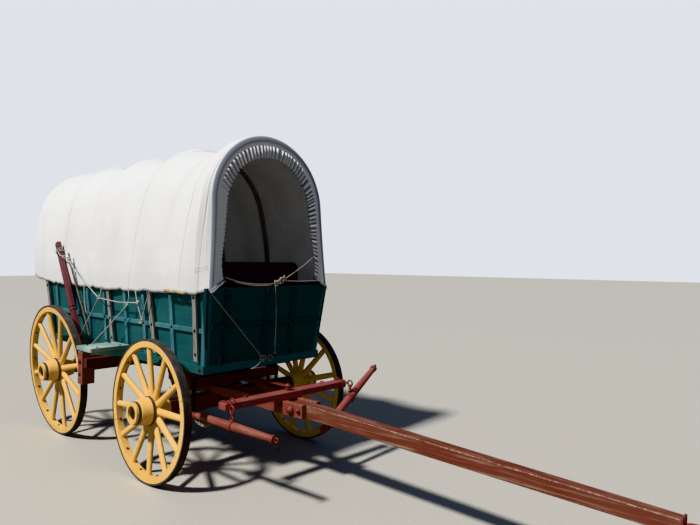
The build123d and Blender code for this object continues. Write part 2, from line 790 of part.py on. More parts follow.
# y and z along each rope
swag_route = (
    (-345.0, 1437.0), (-240.0, 1419.0), (-130.0, 1409.0), (-20.0, 1408.0),
    (70.0, 1424.0), (155.0, 1462.0), (250.0, 1511.0), (348.0, 1563.0),
)
tail_route = ((0.0, 1414.0), (2.0, 1322.0), (8.0, 1215.0), (9.0, 1110.0), (1.0, 1005.0), (-2.0, 905.0))
swag_start = (-band_inner_y(swag_end_z[0]) - rope_bite, swag_end_z[0])
swag_end = (band_inner_y(swag_end_z[1]) + rope_bite, swag_end_z[1])
rope("swag_rope", swag_diameter, [(front_x(z), y, z) for y, z in (swag_start, *swag_route, swag_end)])
print("swag ends", swag_start, swag_end)
tail_x = front_x(swag_route[3][1]) + swag_diameter / 2 + seat_gap + tail_diameter / 2
rope("rope_tail", tail_diameter, [(tail_x, tail_y + y, z) for y, z in tail_route])
print("tail x", tail_x)

# Seat across the front of the box
wall_top = sill_top + wall_height
seat_x = from_front(seat_rear_from_axle)
seat_half = wall_half_width + wall_height * tan(flare) - 2
seat_bottom = wall_top + wall_thickness * sin(flare) + seat_gap
seat_top = seat_bottom + seat_plank_thickness
plank = block(seat_x, seat_x + seat_depth, -seat_half, seat_half, seat_bottom, seat_top)
back_outline = Rectangle(2 * (seat_half - seat_back_inset), seat_back_height)
back_face = fillet(back_outline.vertices().group_by(Axis.Y)[-1], seat_back_corner)
back_plane = Plane(origin=(seat_x, 0, seat_top + seat_back_height / 2), x_dir=(0, 1, 0), z_dir=(1, 0, 0))
save("seat", plank + extrude(back_plane * back_face, amount=seat_back_thickness))

# Step board between the right wheels, on two bearers from the sill
step_x0, step_x1 = rear_axle_x + step_rear_gap, from_front(-step_front_gap)
step_bottom = step_board_top - step_board_thickness
step_inner_y = sill_outer_y + step_wall_gap
step_board = block(step_x0, step_x1, -step_board_outer_y, -step_inner_y, step_bottom, step_board_top)
step = fillet(step_board.edges().filter_by(Axis.Z), 14)
bearer_outer_y = step_board_outer_y - bearer_end
for x in (step_x0 + bearer_inset, step_x1 - bearer_inset - bearer_width):
    profile = Polyline(
        (-sill_outer_y, sill_bottom + 6), (-sill_outer_y, step_bottom), (-bearer_outer_y, step_bottom),
        (-bearer_outer_y, step_bottom - 22), close=True,
    )
    face = Plane(origin=(x, 0, 0), x_dir=(0, 1, 0), z_dir=(1, 0, 0)) * make_face(profile)
    step += extrude(face, amount=bearer_width)
save("step_board", step)

# Brake: beam under the box ahead of the rear wheels, a block at each end, lever and rod
beam_x0 = rear_axle_x + beam_from_rear_axle
beam_x1 = beam_x0 + beam_depth
beam_x = (beam_x0 + beam_x1) / 2
save("brake_beam", block(beam_x0, beam_x1, -beam_half_length, beam_half_length, beam_bottom, beam_top))
hanger_y = sill_outer_y - sill_width / 2
hanger = block(beam_x - 15, beam_x + 15, hanger_y - 20, hanger_y + 20, beam_top, sill_bottom)
wheel_clearing = turned([
    (0, 80), (rear_wheel_diameter / 2 + brake_gap, 80), (rear_wheel_diameter / 2 + brake_gap, -140), (0, -140),
])
shoe = block(beam_x0 - shoe_length, beam_x0, shoe_inner_y, shoe_outer_y, shoe_bottom, shoe_top)
shoe -= placed(wheel_clearing, rear_axle_x, rear_wheel_diameter, rear_lean, 1)
save("brake_blocks", shoe, mirrored(shoe))

lever_foot = (rear_axle_x + lever_foot_from_rear_axle, lever_foot_z)
lever_top = (rear_axle_x + lever_top_from_rear_axle, lever_top_z)
lever_line = hypot(lever_top[0] - lever_foot[0], lever_top[1] - lever_foot[1])
lever_tilt = degrees(atan((lever_foot[0] - lever_top[0]) / (lever_top[1] - lever_foot[1])))
lever_frame = Pos(lever_foot[0], -lever_y, lever_foot[1]) * Rot(Y=-lever_tilt)
lever_post = lever_frame * Pos(0, 0, lever_line / 2) * Box(lever_width, lever_thickness, lever_line)
pivot = lever_frame * Pos(0, 0, lever_pivot_height)
save("brake_lever", lever_post - pivot * Rot(X=90) * Cylinder(lever_pivot_radius, 100))
pivot_x, pivot_z = pivot.position.X, pivot.position.Z
pivot_end_y = -lever_y - lever_thickness / 2 - 14
pivot_pin = rod((pivot_x, -sill_outer_y, pivot_z), (pivot_x, pivot_end_y, pivot_z), lever_pivot_radius - pin_gap)
pivot_plate = block(pivot_x - 45, pivot_x + 45, -sill_outer_y - 8, -sill_outer_y, sill_bottom + 4, sill_top - 4)
rod_z = (beam_bottom + beam_top) / 2
rod_start_x = lever_foot[0] + lever_width / 2 + 14
brake_rod = rod((rod_start_x, -lever_y, rod_z), (beam_x0, -lever_y, rod_z), brake_rod_radius)
save("brake_irons", pivot_pin + pivot_plate, brake_rod, hanger, mirrored(hanger))

# Tongue: tapered pole with its butt between the jaw's cheeks, and a ring at its tip
slope = radians(tongue_slope)
tongue_plane = Plane(
    origin=(tongue_pin_x, 0, tongue_pin_z), x_dir=(0, 1, 0), z_dir=(cos(slope), 0, -sin(slope))
)
butt = tongue_plane.offset(-tongue_butt_back) * Rectangle(tongue_butt_width, tongue_butt_height)
shoulder = tongue_plane.offset(tongue_shoulder) * Rectangle(tongue_butt_width, tongue_height)
tip = tongue_plane.offset(tongue_length) * Rectangle(tongue_tip_width, tongue_tip_height)
pole = loft([butt, shoulder], ruled=True) + loft([shoulder, tip], ruled=True)
save("tongue_pole", pole - tongue_pin_hole)
cap = tongue_plane.offset(tongue_length) * Rectangle(
    tongue_tip_width + 2 * tip_iron_thickness, tongue_tip_height + 2 * tip_iron_thickness
)
end_cap = extrude(cap, amount=tip_cap_thickness)
ring_centre = tongue_plane * Pos(0, 0, tongue_length + tip_cap_thickness + yoke_ring_outer - ring_bite)
ring_spot = ring_centre.position
yoke_ring = Pos(ring_spot.X, 0, ring_spot.Z) * (
    Cylinder(yoke_ring_outer, yoke_ring_thickness) - Cylinder(yoke_ring_inner, yoke_ring_thickness + 2)
)
save("tongue_irons", end_cap + yoke_ring)
print("yoke ring centre", ring_spot)

# Doubletree, turned a little as it stands, with its eyes for the singletrees
doubletree_mid_z = (doubletree_bottom + doubletree_top) / 2
doubletree_frame = Pos(doubletree_pin_x, 0, doubletree_mid_z) * Rot(Z=doubletree_yaw)
end_x, middle_x = doubletree_end_width / 2, doubletree_width / 2
bar_outline = Polyline(
    (-end_x, -doubletree_half_length), (end_x, -doubletree_half_length),
    (middle_x, -doubletree_straight), (middle_x, doubletree_straight),
    (end_x, doubletree_half_length), (-end_x, doubletree_half_length),
    (-middle_x, doubletree_straight), (-middle_x, -doubletree_straight), close=True,
)
bar = extrude(make_face(bar_outline), amount=doubletree_height / 2, both=True)
bar = chamfer(bar.edges().filter_by(GeomType.LINE).group_by(Axis.Z)[-1], 5)
bar -= Cylinder(doubletree_pin_radius + pin_gap, 200)
save("doubletree", doubletree_frame * bar)

def end_iron(y, reach_forward, ring_z):
    """A clip round the bar's end, with a ring ahead of it that ends in a swivel collar below."""
    inner = doubletree_end_width / 2 + 2
    half = inner + 4.5
    clip = block(-half, half, y - 14, y + 14, -doubletree_height / 2 - 5, doubletree_height / 2 + 5)
    clip -= block(-inner, inner, y - 20, y + 20, -doubletree_height / 2 - seat_gap, doubletree_height / 2 + seat_gap)
    ring_x = half + reach_forward
    ring = Pos(ring_x, y, ring_z) * Rot(X=90) * Torus(eye_radius, eye_wire)
    arm = block(half - 1, ring_x - eye_radius + eye_wire / 2, y - 8, y + 8, ring_z - 6, ring_z + 6)
    collar_z = ring_z - eye_radius
    collar = Pos(ring_x, y, collar_z - 3) * Cylinder(12, 14)
    bore = Pos(ring_x, y, collar_z) * Cylinder(swivel_radius + pin_gap, 60)
    return clip + arm + ring + collar - bore, (ring_x, y, collar_z)


near_iron, near_eye = end_iron(-doubletree_eye_span, near_reach, near_ring_lift)
far_iron, far_eye = end_iron(doubletree_eye_span, far_reach, far_ring_lift)
save("doubletree_irons", doubletree_frame * near_iron, doubletree_frame * far_iron)


def singletree(eye, yaw, pitch):
    """The bar and its irons: the clip with its swivel, and a ferrule with a ring at each end."""
    spot = doubletree_frame * Pos(*eye)
    x, y, z = spot.position.X, spot.position.Y, spot.position.Z
    frame = Pos(x, y, z - singletree_drop) * Rot(Z=yaw) * Rot(Y=-pitch)
    half = singletree_length / 2
    sections = []
    for s, r in ((-half, singletree_end_radius), (0, singletree_middle_radius), (half, singletree_end_radius)):
        sections.append(Plane(origin=(s, 0, 0), x_dir=(0, 1, 0), z_dir=(1, 0, 0)) * Circle(r))
    wood = loft(sections[:2]) + loft(sections[1:])
    clip_inner = singletree_middle_radius + seat_gap
    band = frame * Rot(Y=90) * (Cylinder(clip_inner + 6, 28) - Cylinder(clip_inner, 30))
    link_z = z - singletree_drop + (clip_inner + 18) / cos(radians(pitch)) + 0.5
    link = Pos(x, y, link_z) * Rot(Z=yaw) * Rot(X=90) * Torus(13, 5)
    post = rod((x, y, link_z + 12), (x, y, z + 14), swivel_radius)
    head = Pos(x, y, z + 13) * Cylinder(9.5, 5)
    irons = [band + link + post + head]
    cup_inner = singletree_end_radius + 1.5
    for end in (1, -1):
        cup = Pos(end * (half - 8), 0, 0) * Rot(Y=90) * Cylinder(cup_inner + 3.5, 26)
        cup -= Pos(end * (half - 12), 0, 0) * Rot(Y=90) * Cylinder(cup_inner, 24 + 2 * seat_gap)
        ring = Pos(end * (half + 5 + 16), 0, 0) * Rot(X=90) * Torus(14, 4.5)
        irons.append(frame * (cup + ring))
    return frame * wood, irons, (x, y, z)


near_wood, near_irons, near_spot = singletree(near_eye, near_yaw, near_pitch)
far_wood, far_irons, far_spot = singletree(far_eye, far_yaw, far_pitch)
save("singletree_right", near_wood)
save("singletree_right_irons", *near_irons)
save("singletree_left", far_wood)
save("singletree_left_irons", *far_irons)
print("singletree pivots", near_spot, far_spot)
print("doubletree pivot", doubletree_pin_x, doubletree_mid_z)
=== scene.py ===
# %% [markdown]
# # Covered wagon
#
# This file dresses a horse-drawn covered wagon that was already built as solids. The solids give
# every size and place, and they are loaded first as a fixed frame. What follows adds the finishes
# and the things that solids do badly: cloth, rope, bolts and wear.

# %% Load the fixed frame
import math

import bmesh
import bpy
from mathutils import Matrix, Vector, noise


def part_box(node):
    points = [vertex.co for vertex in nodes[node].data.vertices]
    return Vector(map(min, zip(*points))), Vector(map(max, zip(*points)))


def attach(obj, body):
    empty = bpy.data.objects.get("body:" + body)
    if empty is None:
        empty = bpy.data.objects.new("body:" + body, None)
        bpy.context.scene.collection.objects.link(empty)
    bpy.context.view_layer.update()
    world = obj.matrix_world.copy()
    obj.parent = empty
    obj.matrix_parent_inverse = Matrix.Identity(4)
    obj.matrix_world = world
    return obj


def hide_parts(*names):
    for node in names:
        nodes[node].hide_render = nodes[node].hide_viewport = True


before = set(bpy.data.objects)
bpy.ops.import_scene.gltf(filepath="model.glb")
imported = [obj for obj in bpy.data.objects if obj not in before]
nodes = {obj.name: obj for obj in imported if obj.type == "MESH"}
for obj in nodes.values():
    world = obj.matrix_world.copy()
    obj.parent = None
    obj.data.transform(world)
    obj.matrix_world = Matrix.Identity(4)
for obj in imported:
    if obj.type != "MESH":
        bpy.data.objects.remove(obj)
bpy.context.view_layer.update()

# %% [markdown]
# ## Camera
#
# A camera is placed by where it stands and by three angles: the heading round the vertical, the
# tilt above the horizon and the roll about the line of sight. The lens length follows from the
# focal length in pixels, because the sensor is 36 mm wide and the picture is 700 pixels wide.

# %% Camera
picture_width = 700
focal_pixels = 568.56
sensor_width = 36.0
far_limit = 200
camera_place = Vector((3.4194, -2.7737, 1.5715))
heading = math.radians(132.193)
tilt = math.radians(0.057)
roll = math.radians(0.508)


def camera_axes():
    """The camera's right, up and forward directions."""
    level = math.cos(tilt)
    forward = Vector((math.cos(heading) * level, math.sin(heading) * level, math.sin(tilt)))
    right = Vector((math.sin(heading), -math.cos(heading), 0))
    up = right.cross(forward)
    turned_right = math.cos(roll) * right + math.sin(roll) * up
    turned_up = math.cos(roll) * up - math.sin(roll) * right
    return turned_right, turned_up, forward


def place_camera():
    data = bpy.data.cameras.new("camera")
    data.sensor_width = sensor_width
    data.lens = focal_pixels / picture_width * sensor_width
    data.clip_end = far_limit
    camera = bpy.data.objects.new("camera", data)
    right, up, forward = camera_axes()
    turn = Matrix((right, up, -forward)).transposed().to_4x4()
    camera.matrix_world = Matrix.Translation(camera_place) @ turn
    bpy.context.collection.objects.link(camera)
    bpy.context.scene.camera = camera
    print("camera lens", round(data.lens, 2), "mm")


place_camera()

# %% [markdown]
# ## Helpers
#
# Colours are written as the familiar sRGB hex values and turned to Blender's linear light by one
# function. One more function adds a node to any tree, sets its values and links its inputs. Most
# finishes are colours laid over each other, each by a mask, and a fine relief on top. Small metal
# and rope forms are rings of points with faces between them.

# %% Finishes from nodes


def linear(hex_colour):
    """An sRGB hex colour as linear red, green, blue and alpha."""
    channels = []
    for i in (0, 2, 4):
        value = int(hex_colour[i:i + 2], 16) / 255
        channels.append(value / 12.92 if value <= 0.04045 else ((value + 0.055) / 1.055) ** 2.4)
    return (*channels, 1.0)


def add(tree, kind, inputs=None, **settings):
    """Adds a node; inputs maps a socket's name or number to a value, a hex colour or an output."""
    made = tree.nodes.new(kind)
    for name, value in settings.items():
        setattr(made, name, value)
    for name, value in (inputs or {}).items():
        socket = made.inputs[name]
        if isinstance(value, bpy.types.NodeSocket):
            tree.links.new(value, socket)
        elif socket.type == "RGBA":
            socket.default_value = linear(value)
        else:
            socket.default_value = value
    return made


def new_material(name, *noises):
    """A material, its tree, shader and places, and a noise mask for each scale, detail and roughness.

    A scale of three numbers is the pattern's own along X, Y and Z, as for the grain of wood."""
    material = bpy.data.materials.new(name)
    material.use_nodes = True
    tree = material.node_tree
    tree.nodes.clear()
    shader = add(tree, "ShaderNodeBsdfPrincipled")
    add(tree, "ShaderNodeOutputMaterial", {"Surface": shader.outputs[0]})
    at = add(tree, "ShaderNodeTexCoord").outputs
    masks = []
    for scale, detail, roughness in noises:
        place = at["Object"]
        if isinstance(scale, tuple):
            place = add(tree, "ShaderNodeMapping", {"Vector": place, "Scale": scale}).outputs[0]
            scale = 1.0
        masks.append(add(tree, "ShaderNodeTexNoise", {
            "Vector": place, "Scale": scale, "Detail": detail, "Roughness": roughness,
        }).outputs["Fac"])
    return material, tree, shader, at, masks


def laid_over(tree, below, above, mask, low=0.0, high=1.0, most=1.0):
    """One colour over another: none where the mask is at low, its greatest share where it is at high."""
    share = add(tree, "ShaderNodeMapRange", {
        "Value": mask, "From Min": low, "From Max": high, "To Min": 0.0, "To Max": most,
    })
    return add(tree, "ShaderNodeMix", {0: share.outputs[0], 6: below, 7: above}, data_type="RGBA").outputs[2]


def colour_and_relief(tree, shader, colour, height, strength, distance, normal=None):
    """Gives a shader its colour and a fine relief, on the rounded normal if there is one."""
    relief = add(tree, "ShaderNodeBump", {"Height": height, "Strength": strength, "Distance": distance})
    if normal is not None:
        tree.links.new(normal, relief.inputs["Normal"])
    tree.links.new(colour, shader.inputs["Base Color"])
    tree.links.new(relief.outputs[0], shader.inputs["Normal"])


# %% Pieces from rings of points


def clip(value):
    """A value held between 0 and 1."""
    return min(1.0, max(0.0, value))


def uneven(*place):
    """Smooth noise from -1 to 1 at a place."""
    return noise.noise(Vector(place))


def mesh_object(name, mesh, material, body, smooth=True):
    """Links a finished mesh as a piece that rides on a body."""
    mesh.name = name
    piece = bpy.data.objects.new(name, mesh)
    bpy.context.collection.objects.link(piece)
    if material is not None:
        mesh.materials.clear()
        mesh.materials.append(material)
    if smooth:
        mesh.shade_smooth()
    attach(piece, body)
    return piece


def live_mesh(holder):
    """The plain mesh that an object with curves or modifiers gives; the object goes."""
    bpy.context.view_layer.update()
    made = bpy.data.meshes.new_from_object(holder.evaluated_get(bpy.context.evaluated_depsgraph_get()))
    bpy.data.objects.remove(holder)
    return made


def skin(form, rings, caps=True):
    """Faces between rings that follow each other, and a cap at each end."""
    faces = []
    for a, b in zip(rings, rings[1:]):
        for k in range(len(a)):
            m = (k + 1) % len(a)
            faces.append(form.faces.new((a[k], a[m], b[m], b[k])))
    if caps:
        form.faces.new(rings[0][::-1])
        form.faces.new(rings[-1])
    return faces


def finished(form, closed=True):
    """The mesh of a form; a closed form's faces are turned outwards."""
    if closed:
        bmesh.ops.recalc_face_normals(form, faces=form.faces[:])
    else:
        form.normal_update()
    mesh = bpy.data.meshes.new("form")
    form.to_mesh(mesh)
    form.free()
    return mesh


# %% [markdown]
# ## Floor and light
#
# A plain studio: one floor, a sun lamp high on the wagon's right side, where the wheel's shadow
# says that the sun stood, and a weak even light from the world all round. The camera sees the floor
# and the world paler than they are for other rays, which gives a bright backdrop and still keeps
# the wagon's underside dark. The view transform rolls off the whites, so the cloth isn't burnt out.

# %% Floor, lamps and world
floor_half = 60.0
sun_from = Vector((-0.035, -0.65, 0.76)).normalized()
sun_strength = 3.9
sun_softness = math.radians(5)
sun_colour = (1.0, 0.97, 0.92)
world_strength = 0.20
backdrop_strength = 1.0


def make_floor():
    mesh = bpy.data.meshes.new("floor")
    corners = [(x * floor_half, y * floor_half, 0) for x, y in ((-1, -1), (1, -1), (1, 1), (-1, 1))]
    mesh.from_pydata(corners, [], [(0, 1, 2, 3)])
    material, tree, shader, at, (speck,) = new_material("pale studio floor", (40.0, 4.0, 0.5))
    camera_ray = add(tree, "ShaderNodeLightPath").outputs["Is Camera Ray"]
    pale = laid_over(tree, "CBC8C1", "BFBCB4", speck)
    tree.links.new(laid_over(tree, "6E685E", pale, camera_ray), shader.inputs["Base Color"])
    shader.inputs["Roughness"].default_value = 0.9
    mesh.materials.append(material)
    floor = bpy.data.objects.new("floor", mesh)
    bpy.context.collection.objects.link(floor)


def make_lights():
    sun = bpy.data.lights.new("sun", "SUN")
    sun.energy = sun_strength
    sun.angle = sun_softness
    sun.color = sun_colour
    lamp = bpy.data.objects.new("sun", sun)
    lamp.rotation_euler = sun_from.to_track_quat("Z", "Y").to_euler()
    bpy.context.collection.objects.link(lamp)
    world = bpy.data.worlds.new("studio")
    bpy.context.scene.world = world
    world.use_nodes = True
    tree = world.node_tree
    tree.nodes.clear()
    camera_ray = add(tree, "ShaderNodeLightPath").outputs["Is Camera Ray"]
    strength = add(tree, "ShaderNodeMapRange", {
        "Value": camera_ray, "To Min": world_strength, "To Max": backdrop_strength,
    })
    tint = laid_over(tree, "C4D6F2", "E6EAF0", camera_ray)
    sky = add(tree, "ShaderNodeBackground", {"Color": tint, "Strength": strength.outputs[0]})
    add(tree, "ShaderNodeOutputWorld", {"Surface": sky.outputs[0]})
    bpy.context.scene.view_settings.view_transform = "Khronos PBR Neutral"


make_floor()
make_lights()
print("sun energy", sun_strength, "world", world_strength)

# %% [markdown]
# ## Old paint on planks
#
# The box, the wheels and the running gear are sawn timber under many years of oil paint. The sun
# fades such paint in patches, the grain shows through it as fine streaks along the plank, and the
# edges wear down to grey wood. The edge mask compares the true surface with one whose edges are
# rounded by a few millimetres: where they differ, there is an edge.

# %% Painted timber


def edge_wear(tree, radius, coarse):
    """A mask that is 1 on worn edges, broken up by noise, and the rounded normal."""
    rounded = add(tree, "ShaderNodeBevel", {"Radius": radius}, samples=4).outputs[0]
    true = add(tree, "ShaderNodeNewGeometry").outputs["Normal"]
    same = add(tree, "ShaderNodeVectorMath", {0: rounded, 1: true}, operation="DOT_PRODUCT")
    edge, broken = (
        add(tree, "ShaderNodeMapRange", {"Value": value, "From Min": low, "From Max": high}).outputs[0]
        for value, low, high in ((same.outputs["Value"], 0.995, 0.86), (coarse, 0.42, 0.62))
    )
    return add(tree, "ShaderNodeMath", {0: edge, 1: broken}, operation="MULTIPLY").outputs[0], rounded


def painted_timber(
    name, paint, faded, bare, stretch,
    wear=0.8, shine=0.5, fade=0.55, radius=0.004, streak=0.16, ahead=None,
):
    """Paint on wood. stretch is the grain's scale along X, Y and Z; ahead is a darker paint laid on the front
    posts as painted shade.
    """
    material, tree, shader, at, (grain, patch, speck) = new_material(
        name, (stretch, 5.0, 0.6), (3.2, 6.0, 0.62), (45.0, 4.0, 0.7),
    )
    edges, rounded = edge_wear(tree, radius, speck)
    colour = laid_over(tree, paint, faded, patch, 0.42, 0.72, fade)
    colour = laid_over(tree, colour, bare, grain, 0.50, 0.72, streak)
    colour = laid_over(tree, colour, "201A18", grain, 0.46, 0.30, 0.22)
    colour = laid_over(tree, colour, bare, edges, most=wear)
    # painted shade: past x = 0.06 the front posts take the darker ahead paint
    if ahead is not None:
        forward = add(tree, "ShaderNodeSeparateXYZ", {0: at["Object"]}).outputs[0]
        colour = laid_over(tree, colour, ahead, forward, 0.060, 0.064)
    rough = add(tree, "ShaderNodeMapRange", {
        "Value": patch, "From Min": 0.3, "From Max": 0.75, "To Min": shine, "To Max": shine + 0.22,
    })
    tree.links.new(rough.outputs[0], shader.inputs["Roughness"])
    colour_and_relief(tree, shader, colour, grain, 0.35, 0.0016, rounded)
    return material


# the grain runs along X on rails and boards, along Z on battens and posts, and along Y on cross
# bars; fibres are about 11 mm apart across it and 400 mm long, coarser than real so that they show
along_x = (2.5, 90.0, 90.0)
along_y = (90.0, 2.5, 90.0)
along_z = (90.0, 90.0, 2.5)
every_way = (34.0, 34.0, 34.0)

# deep teal, chalky in patches and rubbed to grey at the edges; the end boards are a darker teal as painted
# shade; the battens are a paler teal, and their front posts a darker one as painted shade
box_paint = painted_timber(
    "teal oil paint on pine boards", "255C62", "3B7A75", "77867F", along_x, wear=0.45,
)
# the end boards are painted darker: painted shade of the ends, which stand out of the sun
end_paint = painted_timber(
    "teal oil paint on the end boards in painted shade", "163E40", "1F4D4E", "496A6B", along_y, wear=0.45,
)
# the battens' ahead colour, 14373A, is painted shade on the front posts
batten_paint = painted_timber(
    "teal oil paint on battens", "447B87", "74A9B0", "A7A2A5", along_z, wear=0.55, ahead="14373A",
)
# harder and glossier than the rest, warm yellow with brown wood at the rims
wheel_paint = painted_timber(
    "ochre coach paint on ash", "FBCB7A", "FCDA9C", "B9A071", every_way, wear=0.5, shine=0.42,
)
# dull red that turns pink where it fades, with broad pale wear where traces and boots rub
gear_paint = painted_timber(
    "faded barn red on hickory", "8B4F48", "9F685B", "D2B79C", along_x, wear=0.85, radius=0.008,
)
pole_paint = painted_timber(
    "barn red on the pole, worn to the wood", "753F33", "89594E", "DCC6AC", along_x,
    wear=0.95, radius=0.010, streak=0.42,
)
cross_paint = painted_timber(
    "faded barn red on cross bars", "985553", "AF736C", "C4A088", along_y, wear=0.75, radius=0.007,
)
# the same red, darkened nearly to brown as painted shade, for the parts that stand in shade under the box
shaded_underside_paint = painted_timber(
    "barn red darkened as painted shade under the box", "5E3634", "6E4542", "4A3A33", along_y,
    wear=0.5, radius=0.006,
)
# dark and even, because the seat stands in the cover's shade; the lever's has bleached in the sun
seat_paint = painted_timber("maroon paint on the seat", "402A2B", "4C3434", "4C3A33", along_y, wear=0.5)
lever_paint = painted_timber("maroon paint on the lever", "7B484E", "97666C", "5A463E", along_z, wear=0.7)
# nearly white in the middle, where feet have worn it thin
step_paint = painted_timber(
    "pale green paint, worn by feet", "92AFA5", "D8E5DF", "A3A89A", along_x, wear=0.9, fade=0.9,
)
print("materials so far", len(bpy.data.materials))

# %% [markdown]
# ## Bare, weathered wood
#
# The bows stand in the rain without paint. Oak turns silver grey, and its soft rings wash out
# between the hard ones, which leaves ridges along the grain that catch the light.

# %% Bare timber


def bare_timber(name, light, dark, stretch):
    """Wood without paint: matt, in two tones along the grain, with grey stains."""
    material, tree, shader, at, (grain, patch) = new_material(name, (stretch, 7.0, 0.68), (6.0, 3.0, 0.5))
    colour = laid_over(tree, dark, light, grain, 0.35, 0.66)
    colour = laid_over(tree, colour, "66605B", patch, 0.5, 0.75, 0.4)
    shader.inputs["Roughness"].default_value = 0.82
    rounded = add(tree, "ShaderNodeBevel", {"Radius": 0.003}, samples=4).outputs[0]
    colour_and_relief(tree, shader, colour, grain, 0.6, 0.002, rounded)
    return material


# silver and ridged in the rain; brown and dusty under the cover
bow_wood = bare_timber("silver grey oak bows", "B6B2AF", "787471", along_z)
floor_wood = bare_timber("floor planks", "8C7862", "4C3F33", along_x)

# %% [markdown]
# ## Wrought iron
#
# The tyres, skeins, rings and straps are wrought iron. Where a tyre rolls, it is rubbed to a dull
# brown grey and holds dust. Everywhere else the old black paint thins out and rust comes through.

# %% Iron


def iron(name, base, rust, rust_share, metallic, rough):
    """Iron in its own tone with rust in patches; the more dust or paint, the less metallic."""
    material, tree, shader, at, (patch, fine) = new_material(name, (22.0, 7.0, 0.68), (260.0, 3.0, 0.5))
    colour = laid_over(tree, base, rust, patch, 0.44, 0.66, rust_share)
    shader.inputs["Metallic"].default_value = metallic
    matt = add(tree, "ShaderNodeMapRange", {
        "Value": patch, "From Min": 0.3, "From Max": 0.7, "To Min": rough, "To Max": rough + 0.25,
    })
    tree.links.new(matt.outputs[0], shader.inputs["Roughness"])
    rounded = add(tree, "ShaderNodeBevel", {"Radius": 0.002}, samples=4).outputs[0]
    colour_and_relief(tree, shader, colour, fine, 0.35, 0.0008, rounded)
    return material


# black with a dull gleam and brown rust; pale and flat with road dust; red like the wood it holds
black_iron = iron("black wrought iron", "2A2624", "6A4634", 0.7, 0.55, 0.5)
tyre_iron = iron("dusty rolled iron tyre", "545150", "817670", 0.6, 0.3, 0.62)
red_iron = iron("red painted iron", "8C4C46", "664238", 0.6, 0.1, 0.45)

# %% Dress the solids
wheel_names = ("front_left", "front_right", "rear_left", "rear_right")
dress_table = (
    (box_paint, ("side_walls", "box_frame")),
    (end_paint, ("end_walls",)),
    (batten_paint, ("box_battens",)),
    (floor_wood, ("floor_boards",)),
    (bow_wood, ("bows",)),
    (seat_paint, ("seat",)),
    (step_paint, ("step_board",)),
    (lever_paint, ("brake_lever",)),
    (gear_paint, ("front_hounds", "brake_blocks", "singletree_right")),
    # the parts under the box take the red darkened as painted shade
    (shaded_underside_paint, (
        "front_axle_bed", "rear_axle_bed", "sand_board", "bolsters", "brake_beam", "reach", "rear_hounds",
    )),
    (pole_paint, ("tongue_pole",)),
    (cross_paint, ("doubletree", "singletree_left")),
    (red_iron, (
        "tongue_irons", "doubletree_irons", "singletree_left_irons", "singletree_right_irons",
        "hound_bridge", "jaw_pin",
    )),
    (black_iron, ("front_axle_arms", "rear_axle_arms", "kingpin", "brake_irons")),
    (wheel_paint, [wheel + part for wheel in wheel_names for part in ("_spokes", "_felloes")]),
    (tyre_iron, [wheel + "_irons" for wheel in wheel_names]),
)
for material, names in dress_table:
    for name in names:
        for holder in nodes[name].material_slots:
            holder.material = material
print("dressed nodes", sum(len(names) for material, names in dress_table))

# %% [markdown]
# ## Canvas
#
# The cover is cotton duck, a plain weave of thick threads. The real threads are 0.7 mm apart, too fine to
# show from here, so the weave is drawn three times as coarse. It follows the cloth by the cloth's own map, in
# metres along and across it. Stains, and dirt with painted shade in the folds, break up the white, and a
# faint painted glow on the band and on the inside stands in for the sun that shines through the cloth.

# %% Canvas
thread_spacing = 0.0022
# a wave texture's bands are 0.314 apart at scale 1, and each holds two threads, one over and one under
wave_scale = 0.314 / thread_spacing / 2


def canvas(name, white, stain, stain_share, fold_dirt_and_shade=None, dirt_and_shade_share=0.32, gathered=None, glow=0.0):
    """Duck; dirt and painted shade lie in the folds by the sheet's own attribute, the drawn-up part of a band
    is paler as a painted highlight, and glow gives a faint painted glow.
    """
    material, tree, shader, at, (patch,) = new_material(name, (2.4, 7.0, 0.62))
    colour = laid_over(tree, white, stain, patch, 0.46, 0.80, stain_share)
    # painted highlight: the drawn-up part of the band is made paler
    if gathered is not None:
        across_band = add(tree, "ShaderNodeSeparateXYZ", {0: at["UV"]}).outputs[1]
        colour = laid_over(tree, colour, gathered, across_band, 0.035, 0.055)
    # dirt and painted shade: the deeper a fold, the darker
    if fold_dirt_and_shade is not None:
        fold = add(tree, "ShaderNodeAttribute", attribute_name="fold").outputs["Fac"]
        colour = laid_over(tree, colour, fold_dirt_and_shade, fold, 0.15, 1.0, dirt_and_shade_share)
    # the cloth's colour is also given off, weakly, by glow: a painted glow that stands in for sun through the
    # cloth
    tree.links.new(colour, shader.inputs["Emission Color"])
    for name, value in (("Roughness", 0.88), ("Sheen Weight", 0.12), ("Emission Strength", glow)):
        shader.inputs[name].default_value = value
    warp, weft = (
        add(tree, "ShaderNodeTexWave", {
            "Vector": at["UV"], "Scale": wave_scale, "Distortion": 0.3,
        }, bands_direction=way).outputs["Fac"] for way in "XY"
    )
    weave = add(tree, "ShaderNodeMath", {0: warp, 1: weft}, operation="ADD").outputs[0]
    colour_and_relief(tree, shader, colour, weave, 0.12, 0.0006)
    return material


# bright and matt; the cover's folds hold dirt and painted shade; the front band is the same white duck
# painted grey as its shade, darker in its pucker valleys as painted shade and paler on its drawn-up part as a
# painted highlight; the corner folds are painted grey as their shade; the inside is a little greyer; the band
# and the inside have a faint painted glow that stands in for the sun shining through the cloth
cover_cloth = canvas("white cotton duck", "E9EAEC", "D6D4D0", 0.45, fold_dirt_and_shade="B4AFA7")
band_cloth = canvas(
    "white duck of the front band in painted shade", "A2A8B2", "8C929C", 0.5,
    fold_dirt_and_shade="50545C", dirt_and_shade_share=0.85, gathered="F2F3F6", glow=0.035,
)
